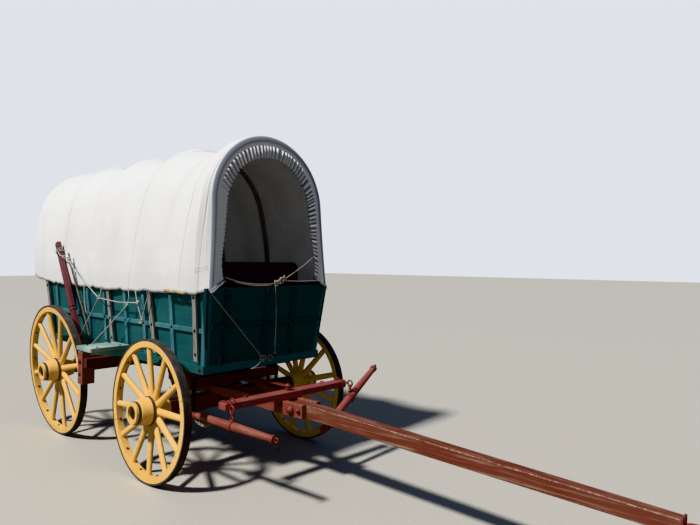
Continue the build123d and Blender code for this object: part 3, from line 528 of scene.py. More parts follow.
# the corner folds are the same duck painted grey as their shade
fold_cloth = canvas("duck of the corner folds in painted shade", "8E939B", "747880", 0.5)
cover_lining = canvas("inside of the cover, a little greyer, with a painted glow", "E6E6E6", "BDBBB8", 0.6, glow=0.035)

# %% [markdown]
# ## The cloth cover
#
# The cloth rests on five bent bows and is drawn in between them. Each bow is a crown arc with two
# long side arcs, in a plane that leans. A row of points is laid round each such plane, the planes
# in between are blended, and the cloth sinks by a few centimetres halfway between two bows. Arcs
# keep the crown as round as the bent wood is, which a few hand-placed points would not.

# %% Shape of the arches
bow_foot_z = 0.875
bow_top = 2.520
knee_z = 1.390
knee_y = 0.5965
bow_tangent = -4.0
bow_crown_radius = 0.563
front_half_width = 0.557
front_tangent = 5.0
front_crown_radius = 0.520
front_drop = 0.005

# foot x and top x of each bow, from the front
bow_table = ((-0.030, 0.030), (-0.590, -0.755), (-1.285, -1.445), (-2.060, -2.195), (-2.580, -2.800))
cover_front = (0.1527, 0.073)
cover_rear = (-2.940, -2.940)


def along_plane(plane, z):
    """The height z, measured from the bows' feet along a leaning plane."""
    foot_x, top_x = plane
    return (z - bow_foot_z) * math.hypot(top_x - foot_x, bow_top - bow_foot_z) / (bow_top - bow_foot_z)


def arch(half_width, tangent_angle, crown_radius, rise):
    """An arch over its knees: side radius, crown radius, the side arc's centre, where the arcs meet."""
    t = math.radians(tangent_angle)
    side_radius = (half_width ** 2 + rise ** 2 - 2 * rise * crown_radius) / (
        2 * (half_width * math.cos(t) + (crown_radius - rise) * math.sin(t) - crown_radius)
    )
    centre_y = half_width - side_radius * math.cos(t)
    centre_drop = rise + side_radius * math.sin(t)
    joint_angle = math.atan((centre_drop - crown_radius) / -centre_y)
    return side_radius, crown_radius, centre_y, centre_drop, joint_angle


def plane_arch(plane):
    """The arch that stands in a bow's plane, or in the cloth's front plane, and the height of its top."""
    top, knee = along_plane(plane, bow_top), along_plane(plane, knee_z)
    if plane == cover_front:
        top -= front_drop
        return arch(front_half_width, front_tangent, front_crown_radius, top - knee), top
    return arch(knee_y, bow_tangent, bow_crown_radius, top - knee), top


def arch_point(shape, share, offset, top, hem):
    """A point (y, height) on the arch, for share from 0 at the right hem to 1 at the left hem."""
    side_radius, crown_radius, centre_y, centre_drop, joint_angle = shape
    side_r, crown_r = side_radius + offset, crown_radius + offset
    side_v, crown_v = top - centre_drop, top - crown_radius
    hem_angle = math.asin((hem - side_v) / side_r)
    side_length = side_r * (joint_angle - hem_angle)
    crown_length = crown_r * (math.pi / 2 - joint_angle)
    run = abs(share - 0.5) * 2 * (side_length + crown_length)
    if run < crown_length:
        angle = math.pi / 2 - run / crown_r
        y, v = crown_r * math.cos(angle), crown_v + crown_r * math.sin(angle)
    else:
        angle = joint_angle - (run - crown_length) / side_r
        y, v = centre_y + side_r * math.cos(angle), side_v + side_r * math.sin(angle)
    return (y if share > 0.5 else -y), v


def in_plane(plane, y, v):
    """A point at y and height v in a bow's leaning plane."""
    foot_x, top_x = plane
    up = Vector((top_x - foot_x, 0, bow_top - bow_foot_z)).normalized()
    return Vector((foot_x, y, bow_foot_z)) + v * up


for plane in (cover_front, bow_table[0]):
    shape, top = plane_arch(plane)
    print("arch top", round(top, 3), "arcs meet at", round(math.degrees(shape[4]), 1), "degrees")

# %% Rows along the cover
bay_steps = 40
bow_steps = 3
bow_half_width = 0.025


def shifted(plane, run):
    """A bow's plane moved along the wagon."""
    return plane[0] + run, plane[1] + run


def rows_along():
    """Rows from front to rear: the planes beside a row, its share between them, its bay, how loose it is."""
    rows = []
    ahead = cover_front
    for bay, plane in enumerate([*bow_table, cover_rear]):
        last = plane == cover_rear
        front_edge = plane if last else shifted(plane, bow_half_width)
        for step in range(bay_steps):
            t = step / bay_steps
            rows.append((ahead, front_edge, t, bay + t, math.sin(math.pi * t)))
        if not last:
            for step in range(bow_steps):
                rows.append((front_edge, shifted(plane, -bow_half_width), step / bow_steps, bay + 1.0, 0.0))
            ahead = shifted(plane, -bow_half_width)
    rows.append((ahead, cover_rear, 1.0, 6.0, 0.0))
    return rows


cover_rows = rows_along()
print("cover rows", len(cover_rows))

# %% Hem and folds of the cover
hem_height = 1.352
rear_lift, rear_lift_bay = 0.045, 4.7
front_lift = 0.018
hem_hollow, hollow_bays = 0.022, 5.4
tie_lift, ties_in_a_bay = 0.012, 1.55
hem_ruffle = 0.008
# each crease: bay where it starts at the crown, bay where it ends at the hem, depth, half width in bays
crease_table = (
    (0.00, 0.75, 0.006, 0.030), (1.02, 1.27, 0.011, 0.022), (1.30, 1.75, 0.009, 0.070),
    (1.80, 2.45, 0.011, 0.025), (2.85, 3.20, 0.008, 0.055), (3.45, 3.30, 0.006, 0.070),
    (3.90, 4.12, 0.008, 0.055), (4.95, 5.06, 0.006, 0.060),
)
slow_wave, quick_wave, hem_tug = 0.018, 0.006, 0.006
front_bay_calm = 0.35


def side_and_down(share):
    """The side that a share lies on, and how far down from the crown: 1 at the hem."""
    return (1 if share > 0.5 else -1), abs(share - 0.5) * 2


def hem_at(bay, side):
    """Height of the hem: nearly straight, hitched up by each tie, and lifted at the two ends."""
    lift = rear_lift * max(0.0, bay - rear_lift_bay) + front_lift * max(0.0, 1.0 - bay)
    lift -= hem_hollow * math.sin(math.pi * min(1.0, bay / hollow_bays)) ** 2
    tie = tie_lift * max(0.0, math.cos(bay * 2 * math.pi * ties_in_a_bay + side)) ** 6
    return hem_height + lift + tie + hem_ruffle * uneven(bay * 6.3, side * 7.0, 0.4)


def crease_depth(bay, side, down):
    """How far the creases draw the cloth in at a place."""
    depth = 0.0
    for i, (start, end, deep, half) in enumerate(crease_table):
        centre = start + (end - start) * down + 0.02 * uneven(down * 3.0, i * 5.0, side)
        away = (bay - centre) / (half * (1.0 + down))
        depth += deep * math.exp(-away * away) * math.sin(math.pi * min(1.0, 0.18 + down * 0.95))
    return depth


def broad_folds(bay, side, down):
    """Slow waves where the loose cloth hangs between its ties."""
    wave = slow_wave * uneven(bay * 2.1, side * 3.0, down * 0.8)
    wave += quick_wave * uneven(bay * 5.5 + down * 0.7, side * 5.0, down * 1.7)
    tug = hem_tug * uneven(bay * 15.0, side * 2.0, down * 1.5) * max(0.0, down - 0.80) / 0.20
    return (wave * down ** 1.5 + tug) * (front_bay_calm if bay < 1 else 1.0)


# %% Sheets of cloth


def running(points):
    """The distance along a line of points, from 0 at the first."""
    far = [0.0]
    for a, b in zip(points, points[1:]):
        far.append(far[-1] + (b - a).length)
    return far


def cloth_sheet(name, grid, middle_row, middle_column, cloth, thickness, offset):
    """A sheet from rows of points, mapped in metres along and across it, and its area."""
    form = bmesh.new()
    map_layer = form.loops.layers.uv.new("cloth")
    rise, run = running([row[middle_column] for row in grid]), running(grid[middle_row])
    corners = [[form.verts.new(spot) for spot in row] for row in grid]
    for i in range(len(grid) - 1):
        for k in range(len(grid[0]) - 1):
            round_face = ((i, k), (i, k + 1), (i + 1, k + 1), (i + 1, k))
            face = form.faces.new([corners[u][v] for u, v in round_face])
            for loop, (u, v) in zip(face.loops, round_face):
                loop[map_layer].uv = (rise[u], run[v])
    piece = mesh_object(name, finished(form, closed=False), cloth, "wagon")
    thick = piece.modifiers.new("thickness", "SOLIDIFY")
    thick.thickness = thickness
    thick.offset = offset
    return piece, sum(face.area for face in piece.data.polygons)


def set_folds(piece, depths):
    """Keeps how deep each point lies in a fold, for the dirt and painted shade there."""
    piece.data.attributes.new("fold", "FLOAT", "POINT").data.foreach_set("value", depths)


# %% Cloth cover
round_steps = 120
cloth_thickness = 0.0025
cloth_gap = 0.004
crown_sag = 0.047
side_sag = 0.42
fold_sway = 0.006
# below this share of the way down, the cloth lies over the box's battens and may not sink into them
box_from, box_blend = 0.78, 0.12
deepest_free, deepest_on_box, proudest = 0.060, 0.015, 0.014
dirt_and_shade_full_depth = 0.014


def cover_point(row, share):
    """A point of the cloth: on the arches beside its row, then sagged and folded."""
    first, second, blend, bay, loose = row
    side, down = side_and_down(share)
    sag = crown_sag * loose ** 0.8 if 1 < bay < 5 else 0.0
    fold = crease_depth(bay, side, down) - broad_folds(bay, side, down)
    hem = hem_at(bay, side)
    over_box = clip((down - box_from) / box_blend)
    drawn_in = sag * side_sag * (1.0 - 0.45 * over_box)
    ends = []
    for plane in (first, second):
        shape, top = plane_arch(plane)
        y, v = arch_point(shape, share, cloth_gap - drawn_in, top - sag, along_plane(plane, hem))
        ends.append(in_plane(plane, y, v))
    spot = ends[0].lerp(ends[1], blend)
    deepest = deepest_free + (max(0.0, deepest_on_box - drawn_in) - deepest_free) * over_box
    spot.y -= side * min(deepest, max(-proudest, fold * (0.18 + 0.82 * loose)))
    spot.x += fold_sway * uneven(bay * 1.7, down * 2.5, side * 2.0) * loose
    return spot


round_shares = [k / round_steps for k in range(round_steps + 1)]
cover_grid = [[cover_point(row, share) for share in round_shares] for row in cover_rows]
middle_row = len(cover_grid) // 2
cover_piece, cover_area = cloth_sheet(
    "cloth_cover", cover_grid, middle_row, round_steps // 2, cover_cloth, cloth_thickness, -1,
)
if cover_piece.data.polygons[round_steps // 2].normal.z < 0:
    cover_piece.data.flip_normals()
cover_piece.data.materials.append(cover_lining)
cover_piece.modifiers["thickness"].material_offset = 1
# the cover's creases are painted darker by this: dirt and painted shade
set_folds(cover_piece, [
    min(1.0, crease_depth(bay, *side_and_down(share)) * (0.25 + 0.75 * loose) / dirt_and_shade_full_depth)
    for first, second, blend, bay, loose in cover_rows for share in round_shares
])
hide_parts("cover")

# %% [markdown]
# ## The gathered front band
#
# At the front the cloth turns inwards, and a cord in its edge draws it up. Its outer part stays
# smooth. Its inner part is puckered into many small folds that run across the band, deepest at the
# drawn edge. The folds are a wave across the sheet whose depth grows towards the edge, and noise
# makes each of them a little different. They are shallow on the near side, where the cloth is
# pulled straight, and the band is widest at the crown.

# %% Front band
side_width = 0.088
crown_width = 0.160
foot_widening, foot_share = 0.034, 0.14
band_steps = 18
band_round = 1100
pucker_count = 72
pucker_depth = 0.019
corner_rise = 0.080
near_side_pucker = 0.26
band_thickness = 0.0015


def band_place(share, depth):
    """A point and how deep it lies in a pucker; depth runs from the outer edge, 0, to the drawn one."""
    side, down = side_and_down(share)
    shape, top = plane_arch(cover_front)
    hem = along_plane(cover_front, hem_at(0.0, side) + corner_rise * depth)
    crown = max(0.0, 1.0 - down ** 1.7)
    foot = clip((down - 1.0 + foot_share) / foot_share)
    width = side_width + (crown_width - side_width) * crown + foot_widening * foot * foot
    phase = share * pucker_count * 2 * math.pi + 5.0 * uneven(share * 22.0, 0.3, 0.0)
    one = uneven(share * 60.0, 2.0, 0.0)
    fold = (math.sin(phase) + 0.22 * math.sin(2.0 * phase + 3.0 * one)) * (0.85 + 0.6 * one)
    smooth = 0.62 - 0.25 * min(1.0, crown * 1.8)
    t = clip((depth - smooth) / 0.16)
    near = 1.0 if side > 0 else near_side_pucker + 0.70 * clip((crown - 0.70) / 0.12)
    drawn = t * t * (3 - 2 * t) * near
    edge = width * depth + 0.005 * fold * drawn * depth
    y, v = arch_point(shape, share, cloth_gap - edge, top, hem)
    spot = in_plane(cover_front, y, v)
    spot.x += pucker_depth * fold * drawn * (0.40 + 0.60 * crown)
    spot.x += 0.010 * math.sin(math.pi * min(1.0, depth / 0.5)) + 0.012 * drawn - 0.016 * depth * depth
    return spot, clip(0.5 - 0.5 * fold) * drawn


band_places = [
    [band_place(k / band_round, j / band_steps) for j in range(band_steps + 1)] for k in range(band_round + 1)
]
band_grid = [[spot for spot, valley in row] for row in band_places]
band_piece, band_area = cloth_sheet(
    "front_band", band_grid, band_round // 2, 0, band_cloth, band_thickness, 0,
)
# the pucker valleys of the band are painted darker: dirt and painted shade
set_folds(band_piece, [valley for row in band_places for spot, valley in row])
print("band area", round(band_area, 3), "m2")

# %% Folded corners of the band
flap_steps = 12
flap_across = 4
flap_width = 0.030
flap_thickness = 0.002


def flap_grid(side):
    """A narrow fold along the band's lower end, turned forward, from the outer to the drawn edge."""
    grid = []
    for k in range(flap_steps + 1):
        edge = band_place(0.0 if side < 0 else 1.0, k / flap_steps)[0]
        row = []
        for j in range(flap_across + 1):
            t = j / flap_across
            ripple = 0.002 * math.sin(k * 1.9 + j)
            forward = 0.002 + flap_width * t * 0.75 + ripple
            row.append(edge + Vector((forward, -side * 0.003, -flap_width * 0.62 * t * t)))
        grid.append(row)
    return grid


for side, label in ((-1, "right"), (1, "left")):
    flap, flap_area = cloth_sheet("band_fold_" + label, flap_grid(side), 0, 0, fold_cloth, flap_thickness, 0)
    print("corner fold", label, round(flap_area, 5), "m2")

# %% [markdown]
# ## Rope
#
# The ropes are three strands laid round each other. A rope this thin can be one tube whose section
# has three lobes that turn as it goes. The two ropes that hang free lie on a smooth NURBS line with
# a few control points, and the tube follows the points that this line gives.

# %% Laid rope
tube_sides = 12
ring_spacing = 0.8
lay_turn = 3.4
knot_steps = 72


def smooth_line(points):
    """The points of a NURBS line through a short list of control points."""
    data = bpy.data.curves.new("line", "CURVE")
    data.dimensions = "3D"
    data.resolution_u = 24
    spline = data.splines.new("NURBS")
    spline.points.add(len(points) - 1)
    for point, place in zip(spline.points, points):
        point.co = (*place, 1.0)
    spline.order_u = 3
    spline.use_endpoint_u = True
    holder = bpy.data.objects.new("line", data)
    bpy.context.collection.objects.link(holder)
    return [vertex.co.copy() for vertex in live_mesh(holder).vertices]


def evenly(points, step):
    """Points every step along a line."""
    far = running(points)
    count = max(2, round(far[-1] / step))
    made, k = [], 0
    for i in range(count + 1):
        want = far[-1] * i / count
        while k < len(points) - 2 and far[k + 1] < want:
            k += 1
        share = (want - far[k]) / max(1e-9, far[k + 1] - far[k])
        made.append(points[k].lerp(points[k + 1], min(1.0, share)))
    return made


def round_ring(form, spot, side, other, radius_at):
    """A ring of points round a spot; radius_at gives the radius at each angle."""
    angles = [2 * math.pi * k / tube_sides for k in range(tube_sides)]
    return [form.verts.new(spot + radius_at(a) * (math.cos(a) * side + math.sin(a) * other)) for a in angles]


def rope(name, lines, radius, finish, body="wagon", lobes=0.16):
    """One piece of laid rope, or of plain wire without lobes, along each line of points."""
    form = bmesh.new()
    map_layer = form.loops.layers.uv.new("rope")
    step = radius * ring_spacing
    for line in lines:
        spots = evenly([Vector(p) for p in line], step)
        side = (spots[1] - spots[0]).normalized().orthogonal().normalized()
        rings = []
        for i, spot in enumerate(spots):
            way = (spots[min(i + 1, len(spots) - 1)] - spots[max(i - 1, 0)]).normalized()
            side = (side - way * side.dot(way)).normalized()
            turn = i * step / (radius * 2 * lay_turn) * 2 * math.pi
            rings.append(round_ring(
                form, spot, side, way.cross(side),
                lambda a: radius * (1.0 - lobes + lobes * math.cos(3 * (a - turn))),
            ))
        for number, face in enumerate(skin(form, rings)):
            i, k = divmod(number, tube_sides)
            for loop, (u, v) in zip(face.loops, ((i, k), (i, k + 1), (i + 1, k + 1), (i + 1, k))):
                loop[map_layer].uv = (u * step, v / tube_sides)
    return mesh_object(name, finished(form), finish, body)


def knot_line(centre, size, turn):
    """The line of a small overhand knot, pulled tight."""
    spots = []
    for i in range(knot_steps + 1):
        t = i / knot_steps * 2 * math.pi
        place = Vector((
            math.sin(t) + 2 * math.sin(2 * t), math.cos(t) - 2 * math.cos(2 * t), -1.3 * math.sin(3 * t),
        ))
        spots.append(Vector(centre) + turn @ (place * size / 6))
    return spots


# %% Rope finishes


def rope_finish(name, light, dark):
    """Spun fibre: pale and matt, with dirt between the strands."""
    material, tree, shader, at, (fibre, stain) = new_material(name, (420.0, 4.0, 0.7), (9.0, 4.0, 0.5))
    colour = laid_over(tree, light, dark, stain, 0.40, 0.68, 0.6)
    colour = laid_over(tree, colour, "66605A", fibre, 0.66, 0.38, 0.35)
    shader.inputs["Roughness"].default_value = 0.9
    shader.inputs["Sheen Weight"].default_value = 0.25
    colour_and_relief(tree, shader, colour, fibre, 0.5, 0.0006)
    return material


# warm and nearly white; bleached grey by the weather
manila = rope_finish("pale manila rope", "F8EBDC", "DCC6B2")
grey_rope = rope_finish("weathered grey rope", "D2D4CE", "9FA19A")

# %% The two free ropes
# the x, y and z of each control point, as the solid ropes have them
swag_points = (
    (0.124065, -0.430011, 1.466), (0.125470, -0.345, 1.437), (0.126342, -0.240, 1.419),
    (0.126827, -0.130, 1.409), (0.126875, -0.020, 1.408), (0.126100, 0.070, 1.424),
    (0.124259, 0.155, 1.462), (0.121885, 0.250, 1.511), (0.119366, 0.348, 1.563),
    (0.117040, 0.419920, 1.611),
)
tail_points = (
    (0.136176, 0.018, 1.414), (0.136176, 0.020, 1.322), (0.136176, 0.026, 1.215),
    (0.136176, 0.027, 1.110), (0.136176, 0.019, 1.005), (0.136176, 0.016, 0.905),
)
swag_line = smooth_line(swag_points)
tail_line = smooth_line(tail_points)
swag = rope("rope_swag", [swag_line], 0.005, manila)
tail = rope("rope_end", [tail_line], 0.004, grey_rope)
print("swag", round(running(swag_line)[-1], 3), "m, tail", round(running(tail_line)[-1], 3), "m")

# %% Knots and the doubled strand
knot_place = Vector((0.133, 0.052, 1.424))
flat_turn = Matrix.Rotation(math.radians(90), 3, "Y") @ Matrix.Rotation(math.radians(25), 3, "Z")
# each knot of the bunch: its offset, size and spin in radians
knot_rows = (
    ((0.0, -0.024, -0.007), 0.046, 0.8), ((0.001, 0.012, 0.006), 0.052, 0.0),
    ((0.001, 0.048, 0.024), 0.044, 1.9),
)
knot_lines = [
    knot_line(knot_place + Vector(off), size, flat_turn @ Matrix.Rotation(spin, 3, "Z"))
    for off, size, spin in knot_rows
]
loose_loop = ((0.004, 0.0, 0.004), (0.010, 0.014, 0.024), (0.007, 0.026, 0.034), (0.004, 0.040, 0.030))
knot_lines.append([knot_place + Vector(p) for p in loose_loop])
swag_knot = rope("swag_knot", knot_lines, 0.0054, manila)
# the second strand hangs a little in front of the first and below it
second_drops = (-0.006, -0.011, -0.012, -0.006)
second_points = [Vector(p) + Vector((0.004, 0, drop)) for p, drop in zip(swag_points[1:5], second_drops)]
second = rope("second_strand", [smooth_line(second_points)], 0.0042, manila)
tail_end = Vector(tail_points[-1]) + Vector((0, 0, -0.010))
tail_knot = rope("tail_knot", [knot_line(tail_end, 0.024, flat_turn)], 0.0038, grey_rope)
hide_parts("swag_rope")
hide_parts("rope_tail")
print("knots of the swag", len(knot_rows))

# %% [markdown]
# ## Ties
#
# The cover is tied down along its hem, and a longer rope runs from the brake lever to a stake, then
# along the box. All of these are pulled tight, so each is a straight run between the things that
# hold it, with a small knot where it is made fast. A cord is sewn into each folded corner's edge.

# %% Taut ties
tie_radius = 0.0050
# each tie: the points it is pulled between, first along the box and then at the front
tie_table = [
    ((-2.213, -0.662, 1.661), (-2.150, -0.662, 1.622), (-2.062, -0.658, 1.604), (-1.985, -0.640, 1.590)),
    ((-1.985, -0.640, 1.575), (-1.900, -0.650, 1.520), (-1.806, -0.655, 1.470), (-1.377, -0.640, 1.258),
     (-1.060, -0.618, 1.238), (-0.736, -0.620, 1.250)),
    ((-1.377, -0.640, 1.258), (-1.553, -0.640, 1.086), (-1.730, -0.645, 0.913)),
    ((-0.914, -0.615, 1.225), (-1.200, -0.640, 1.030), (-1.480, -0.662, 0.846)),
    ((-0.798, -0.612, 1.345), (-0.745, -0.620, 1.235), (-0.688, -0.612, 1.121)),
    ((-0.570, -0.614, 1.355), (-0.625, -0.620, 1.240), (-0.684, -0.612, 1.112)),
    ((-1.377, -0.612, 1.360), (-1.377, -0.632, 1.258)),
    ((-0.920, -0.608, 1.355), (-0.900, -0.612, 1.290), (-0.914, -0.615, 1.225)),
    ((-1.760, -0.600, 1.362), (-1.740, -0.606, 1.240), (-1.700, -0.606, 1.110)),
    ((0.176, -0.584, 1.368), (0.153, -0.337, 1.115), (0.130, -0.091, 0.863)),
    ((0.130, -0.091, 0.863), (0.134, -0.137, 0.824), (0.137, -0.194, 0.799)),
    ((0.137, -0.204, 0.803), (0.136, -0.068, 0.800)),
    ((0.130, 0.085, 1.432), (0.135, 0.270, 1.424), (0.140, 0.473, 1.426)),
    ((0.117, 0.418, 1.610), (0.114, 0.440, 1.622), (0.110, 0.462, 1.634)),
]
for share in (0.0, 1.0):
    tie_table.append([band_place(share, k / 10)[0] + Vector((0.007, 0, 0.001)) for k in range(1, 9)])
# each knot: its place and size
tie_knots = (
    ((-2.062, -0.658, 1.604), 0.034), ((-1.377, -0.640, 1.258), 0.036), ((-0.736, -0.622, 1.250), 0.032),
    ((-0.690, -0.616, 1.105), 0.036), ((-0.914, -0.618, 1.225), 0.028), ((0.130, -0.091, 0.863), 0.052),
    ((-1.985, -0.648, 1.585), 0.034), ((-2.205, -0.668, 1.655), 0.030),
)
side_turn = Matrix.Rotation(math.radians(90), 3, "X")
lever_foot = Vector((-1.680, -0.635, 0.740))
lever_way = Vector((-0.5076, 0, 0.8616))
lever_across = Vector((0.8616, 0, 0.5076))
circle = [k * math.pi / 12 for k in range(25)]


def lever_loop(run):
    """A turn of rope round the lever, this far up from its foot."""
    loop = []
    for angle in circle:
        u, v = 0.034 * math.cos(angle), 0.027 * math.sin(angle)
        squared = lever_across * u * (1 - 0.12 * math.sin(2 * angle) ** 2)
        loop.append(lever_foot + lever_way * run + squared + Vector((0, v, 0.004 * math.sin(angle))))
    return loop


loops = [lever_loop(run) for run in (1.065, 1.082, 1.052)]
for centre, reach in (((0.133, -0.026, 0.858), 0.021), ((0.130, -0.091, 0.863), 0.024)):
    loops.append([
        Vector(centre) + Vector((0.004 * math.sin(k / 2), reach * math.cos(angle), reach * math.sin(angle)))
        for k, angle in enumerate(circle)
    ])
knots = [
    knot_line(place, size, side_turn @ Matrix.Rotation(i * 0.9, 3, "Z"))
    for i, (place, size) in enumerate(tie_knots)
]
rope("taut_ties", [*tie_table, *loops, *knots], tie_radius, grey_rope)
print("ties", len(tie_table), "knots", len(tie_knots))

# %% [markdown]
# ## Bolts, stitches and chain
#
# The same bolt sits in a hundred places, and the same stitch in many more. Geometry Nodes put one
# small form on each point of a list. The list is a mesh of loose points, each with its turn and its
# size, and one tree is built for each kind of form.

# %% A tree that repeats a form on points
size_by_chance = 0.06


def repeat_tree(name, kind):
    """Repeats a small form on the points, each a little larger or smaller by chance."""
    tree = bpy.data.node_groups.new(name, "GeometryNodeTree")
    face = tree.interface
    for label, value in (
        ("Places", "Geometry"), ("Radius", "Float"), ("Length", "Float"), ("Seed", "Int"),
        ("Finish", "Material"),
    ):
        face.new_socket(label, in_out="INPUT", socket_type="NodeSocket" + value)
    face.new_socket("Made", in_out="OUTPUT", socket_type="NodeSocketGeometry")
    given = add(tree, "NodeGroupInput").outputs
    form = add(tree, "GeometryNodeJoinGeometry")
    for part in kind(tree, given["Radius"], given["Length"]):
        tree.links.new(part, form.inputs[0])
    turn, size = (
        add(tree, "GeometryNodeInputNamedAttribute", {"Name": label}, data_type=data).outputs["Attribute"]
        for label, data in (("turn", "FLOAT_VECTOR"), ("size", "FLOAT"))
    )
    chance = add(tree, "FunctionNodeRandomValue", {
        2: 1.0 - size_by_chance, 3: 1.0 + size_by_chance, "Seed": given["Seed"],
    }, data_type="FLOAT").outputs[1]
    scale = add(tree, "ShaderNodeMath", {0: size, 1: chance}, operation="MULTIPLY").outputs[0]
    placed = add(tree, "GeometryNodeInstanceOnPoints", {
        "Points": given["Places"], "Instance": form.outputs[0],
        "Rotation": add(tree, "FunctionNodeEulerToRotation", {0: turn}).outputs[0],
        "Scale": add(tree, "ShaderNodeCombineXYZ", {0: scale, 1: scale, 2: scale}).outputs[0],
    })
    real = add(tree, "GeometryNodeRealizeInstances", {"Geometry": placed.outputs[0]})
    done = add(tree, "GeometryNodeSetMaterial", {"Geometry": real.outputs[0], "Material": given["Finish"]})
    add(tree, "NodeGroupOutput", {"Made": done.outputs[0]})
    return tree


def bolt_kind(tree, radius, length):
    """A domed head on a round washer, along Z."""
    wide = add(tree, "ShaderNodeMath", {0: radius, 1: 1.5}, operation="MULTIPLY").outputs[0]
    dome = add(tree, "GeometryNodeMeshUVSphere", {"Segments": 10, "Rings": 6, "Radius": radius}).outputs[0]
    flat = add(tree, "GeometryNodeTransform", {
        "Geometry": dome, "Scale": (1, 1, 0.6), "Translation": (0, 0, 0.002),
    }).outputs[0]
    disc = add(tree, "GeometryNodeMeshCylinder", {"Vertices": 14, "Radius": wide, "Depth": length})
    return flat, disc.outputs[0]


def nut_kind(tree, radius, length):
    """A square nut with the bolt's end standing out of it, along Z."""
    thin, tall = (
        add(tree, "ShaderNodeMath", {0: size, 1: factor}, operation="MULTIPLY").outputs[0]
        for size, factor in ((radius, 0.45), (length, 1.8))
    )
    return tuple(
        add(tree, "GeometryNodeMeshCylinder", {"Vertices": sides, "Radius": r, "Depth": depth}).outputs[0]
        for sides, r, depth in ((4, radius, length), (8, thin, tall))
    )


def stitch_kind(tree, radius, length):
    """One stitch: a short thick thread along X."""
    bead = add(tree, "GeometryNodeMeshUVSphere", {"Segments": 6, "Rings": 5, "Radius": 1.0}).outputs[0]
    size = add(tree, "ShaderNodeCombineXYZ", {0: length, 1: radius, 2: radius}).outputs[0]
    return (add(tree, "GeometryNodeTransform", {"Geometry": bead, "Scale": size}).outputs[0],)


def link_kind(tree, radius, length):
    """A chain link: a ring of round wire, drawn out along X."""
    ring, wire = (
        add(tree, "GeometryNodeCurvePrimitiveCircle", {"Resolution": steps, "Radius": size}).outputs[0]
        for steps, size in ((18, length), (8, radius))
    )
    oval = add(tree, "GeometryNodeTransform", {"Geometry": ring, "Scale": (1, 0.62, 1)}).outputs[0]
    return (add(tree, "GeometryNodeCurveToMesh", {"Curve": oval, "Profile Curve": wire}).outputs[0],)


bolt_tree = repeat_tree("bolt heads", bolt_kind)
nut_tree = repeat_tree("square nuts", nut_kind)
stitch_tree = repeat_tree("stitches", stitch_kind)
link_tree = repeat_tree("chain links", link_kind)
print("trees", len(bpy.data.node_groups))

# %% Using a tree


def facing(direction, spin=0.0):
    """The turn that points a form's Z along a direction."""
    turn = Vector(direction).to_track_quat("Z", "Y")
    return (turn.to_matrix() @ Matrix.Rotation(spin, 3, "Z")).to_euler()


def lying(direction, spin=0.0):
    """The turn that points a form's X along a direction."""
    turn = Vector(direction).to_track_quat("X", "Z")
    return (turn.to_matrix() @ Matrix.Rotation(spin, 3, "X")).to_euler()


def repeated(name, tree, rows, body, finish, seed, radius, length):
    """One plain mesh of a form on many places; each row is a place, a turn and a size."""
    mesh = bpy.data.meshes.new(name)
    mesh.from_pydata([tuple(row[0]) for row in rows], [], [])
    mesh.attributes.new("turn", "FLOAT_VECTOR", "POINT")
    mesh.attributes.new("size", "FLOAT", "POINT")
    for i, row in enumerate(rows):
        mesh.attributes["turn"].data[i].vector = tuple(row[1])
        mesh.attributes["size"].data[i].value = row[2]
    holder = bpy.data.objects.new(name, mesh)
    bpy.context.collection.objects.link(holder)
    live = holder.modifiers.new("repeat", "NODES")
    live.node_group = tree
    given = {"Finish": finish, "Seed": seed, "Radius": radius, "Length": length}
    for socket in tree.interface.items_tree:
        if socket.name in given:
            live[socket.identifier] = given[socket.name]
    made = live_mesh(holder)
    print(name, len(rows), "places,", len(made.polygons), "faces")
    return mesh_object(name, made, None, body)


# %% Bolts of the box
box_flare = math.radians(4.0)
end_lean = math.radians(8.4)
sill_top = 0.848
batten_face_y = 0.5405
sill_face_y, sill_bolt_z = 0.5535, 0.8195
batten_x = (-2.460, -2.120, -1.765, -1.445, -1.065, -0.765, -0.355)
end_batten_y = (-0.400, -0.040, 0.220)
cross_sill_x = (-2.610, -2.085, -1.560, -1.040, -0.515, 0.010)
end_top_x = ((1, 0.1455), (-1, -2.7455))
box_bolts = []
for side in (-1, 1):
    outward = facing((0, side * math.cos(box_flare), -math.sin(box_flare)))
    for x in batten_x:
        for z in (0.885, 1.092, 1.335):
            y = batten_face_y + (z - sill_top) * math.tan(box_flare)
            box_bolts.append(((x, side * y, z), outward, 0.8))
    for foot_x, top_x in bow_table:
        for z in (0.925, 1.092, 1.325):
            x = foot_x + (top_x - foot_x) * (z - bow_foot_z) / (bow_top - bow_foot_z)
            y = knee_y - (knee_z - z) * math.tan(box_flare)
            box_bolts.append(((x, side * y, z), outward, 1.0))
    for x in cross_sill_x:
        box_bolts.append(((x, side * sill_face_y, sill_bolt_z), facing((0, side, 0)), 1.1))
for end, top_x in end_top_x:
    outward = facing((end * math.cos(end_lean), 0, -math.sin(end_lean)))
    for y in end_batten_y:
        for z in (0.885, 1.120, 1.335):
            box_bolts.append(((top_x - end * (knee_z - z) * math.tan(end_lean), y, z), outward, 0.8))
box_bolts += [((x, y, 0.9005), facing((0, 0, 1)), 0.9) for x in (-1.165, -0.985) for y in (-0.640, -0.820)]
repeated("box_bolts", bolt_tree, box_bolts, "wagon", black_iron, 3, 0.0085, 0.003)
# each pair of nuts on the brake beam: height, spin and size
brake_nuts = [
    ((-1.3475, side * 0.8005, z), facing((0, side, 0), spin), size)
    for z, spin, size in ((0.742, 0.3, 1.0), (0.640, 0.7, 0.8)) for side in (-1, 1)
]
repeated("brake_nuts", nut_tree, brake_nuts, "wagon", black_iron, 5, 0.018, 0.016)

# %% Nuts inside the wheels' rims
rim_depth = 0.0585
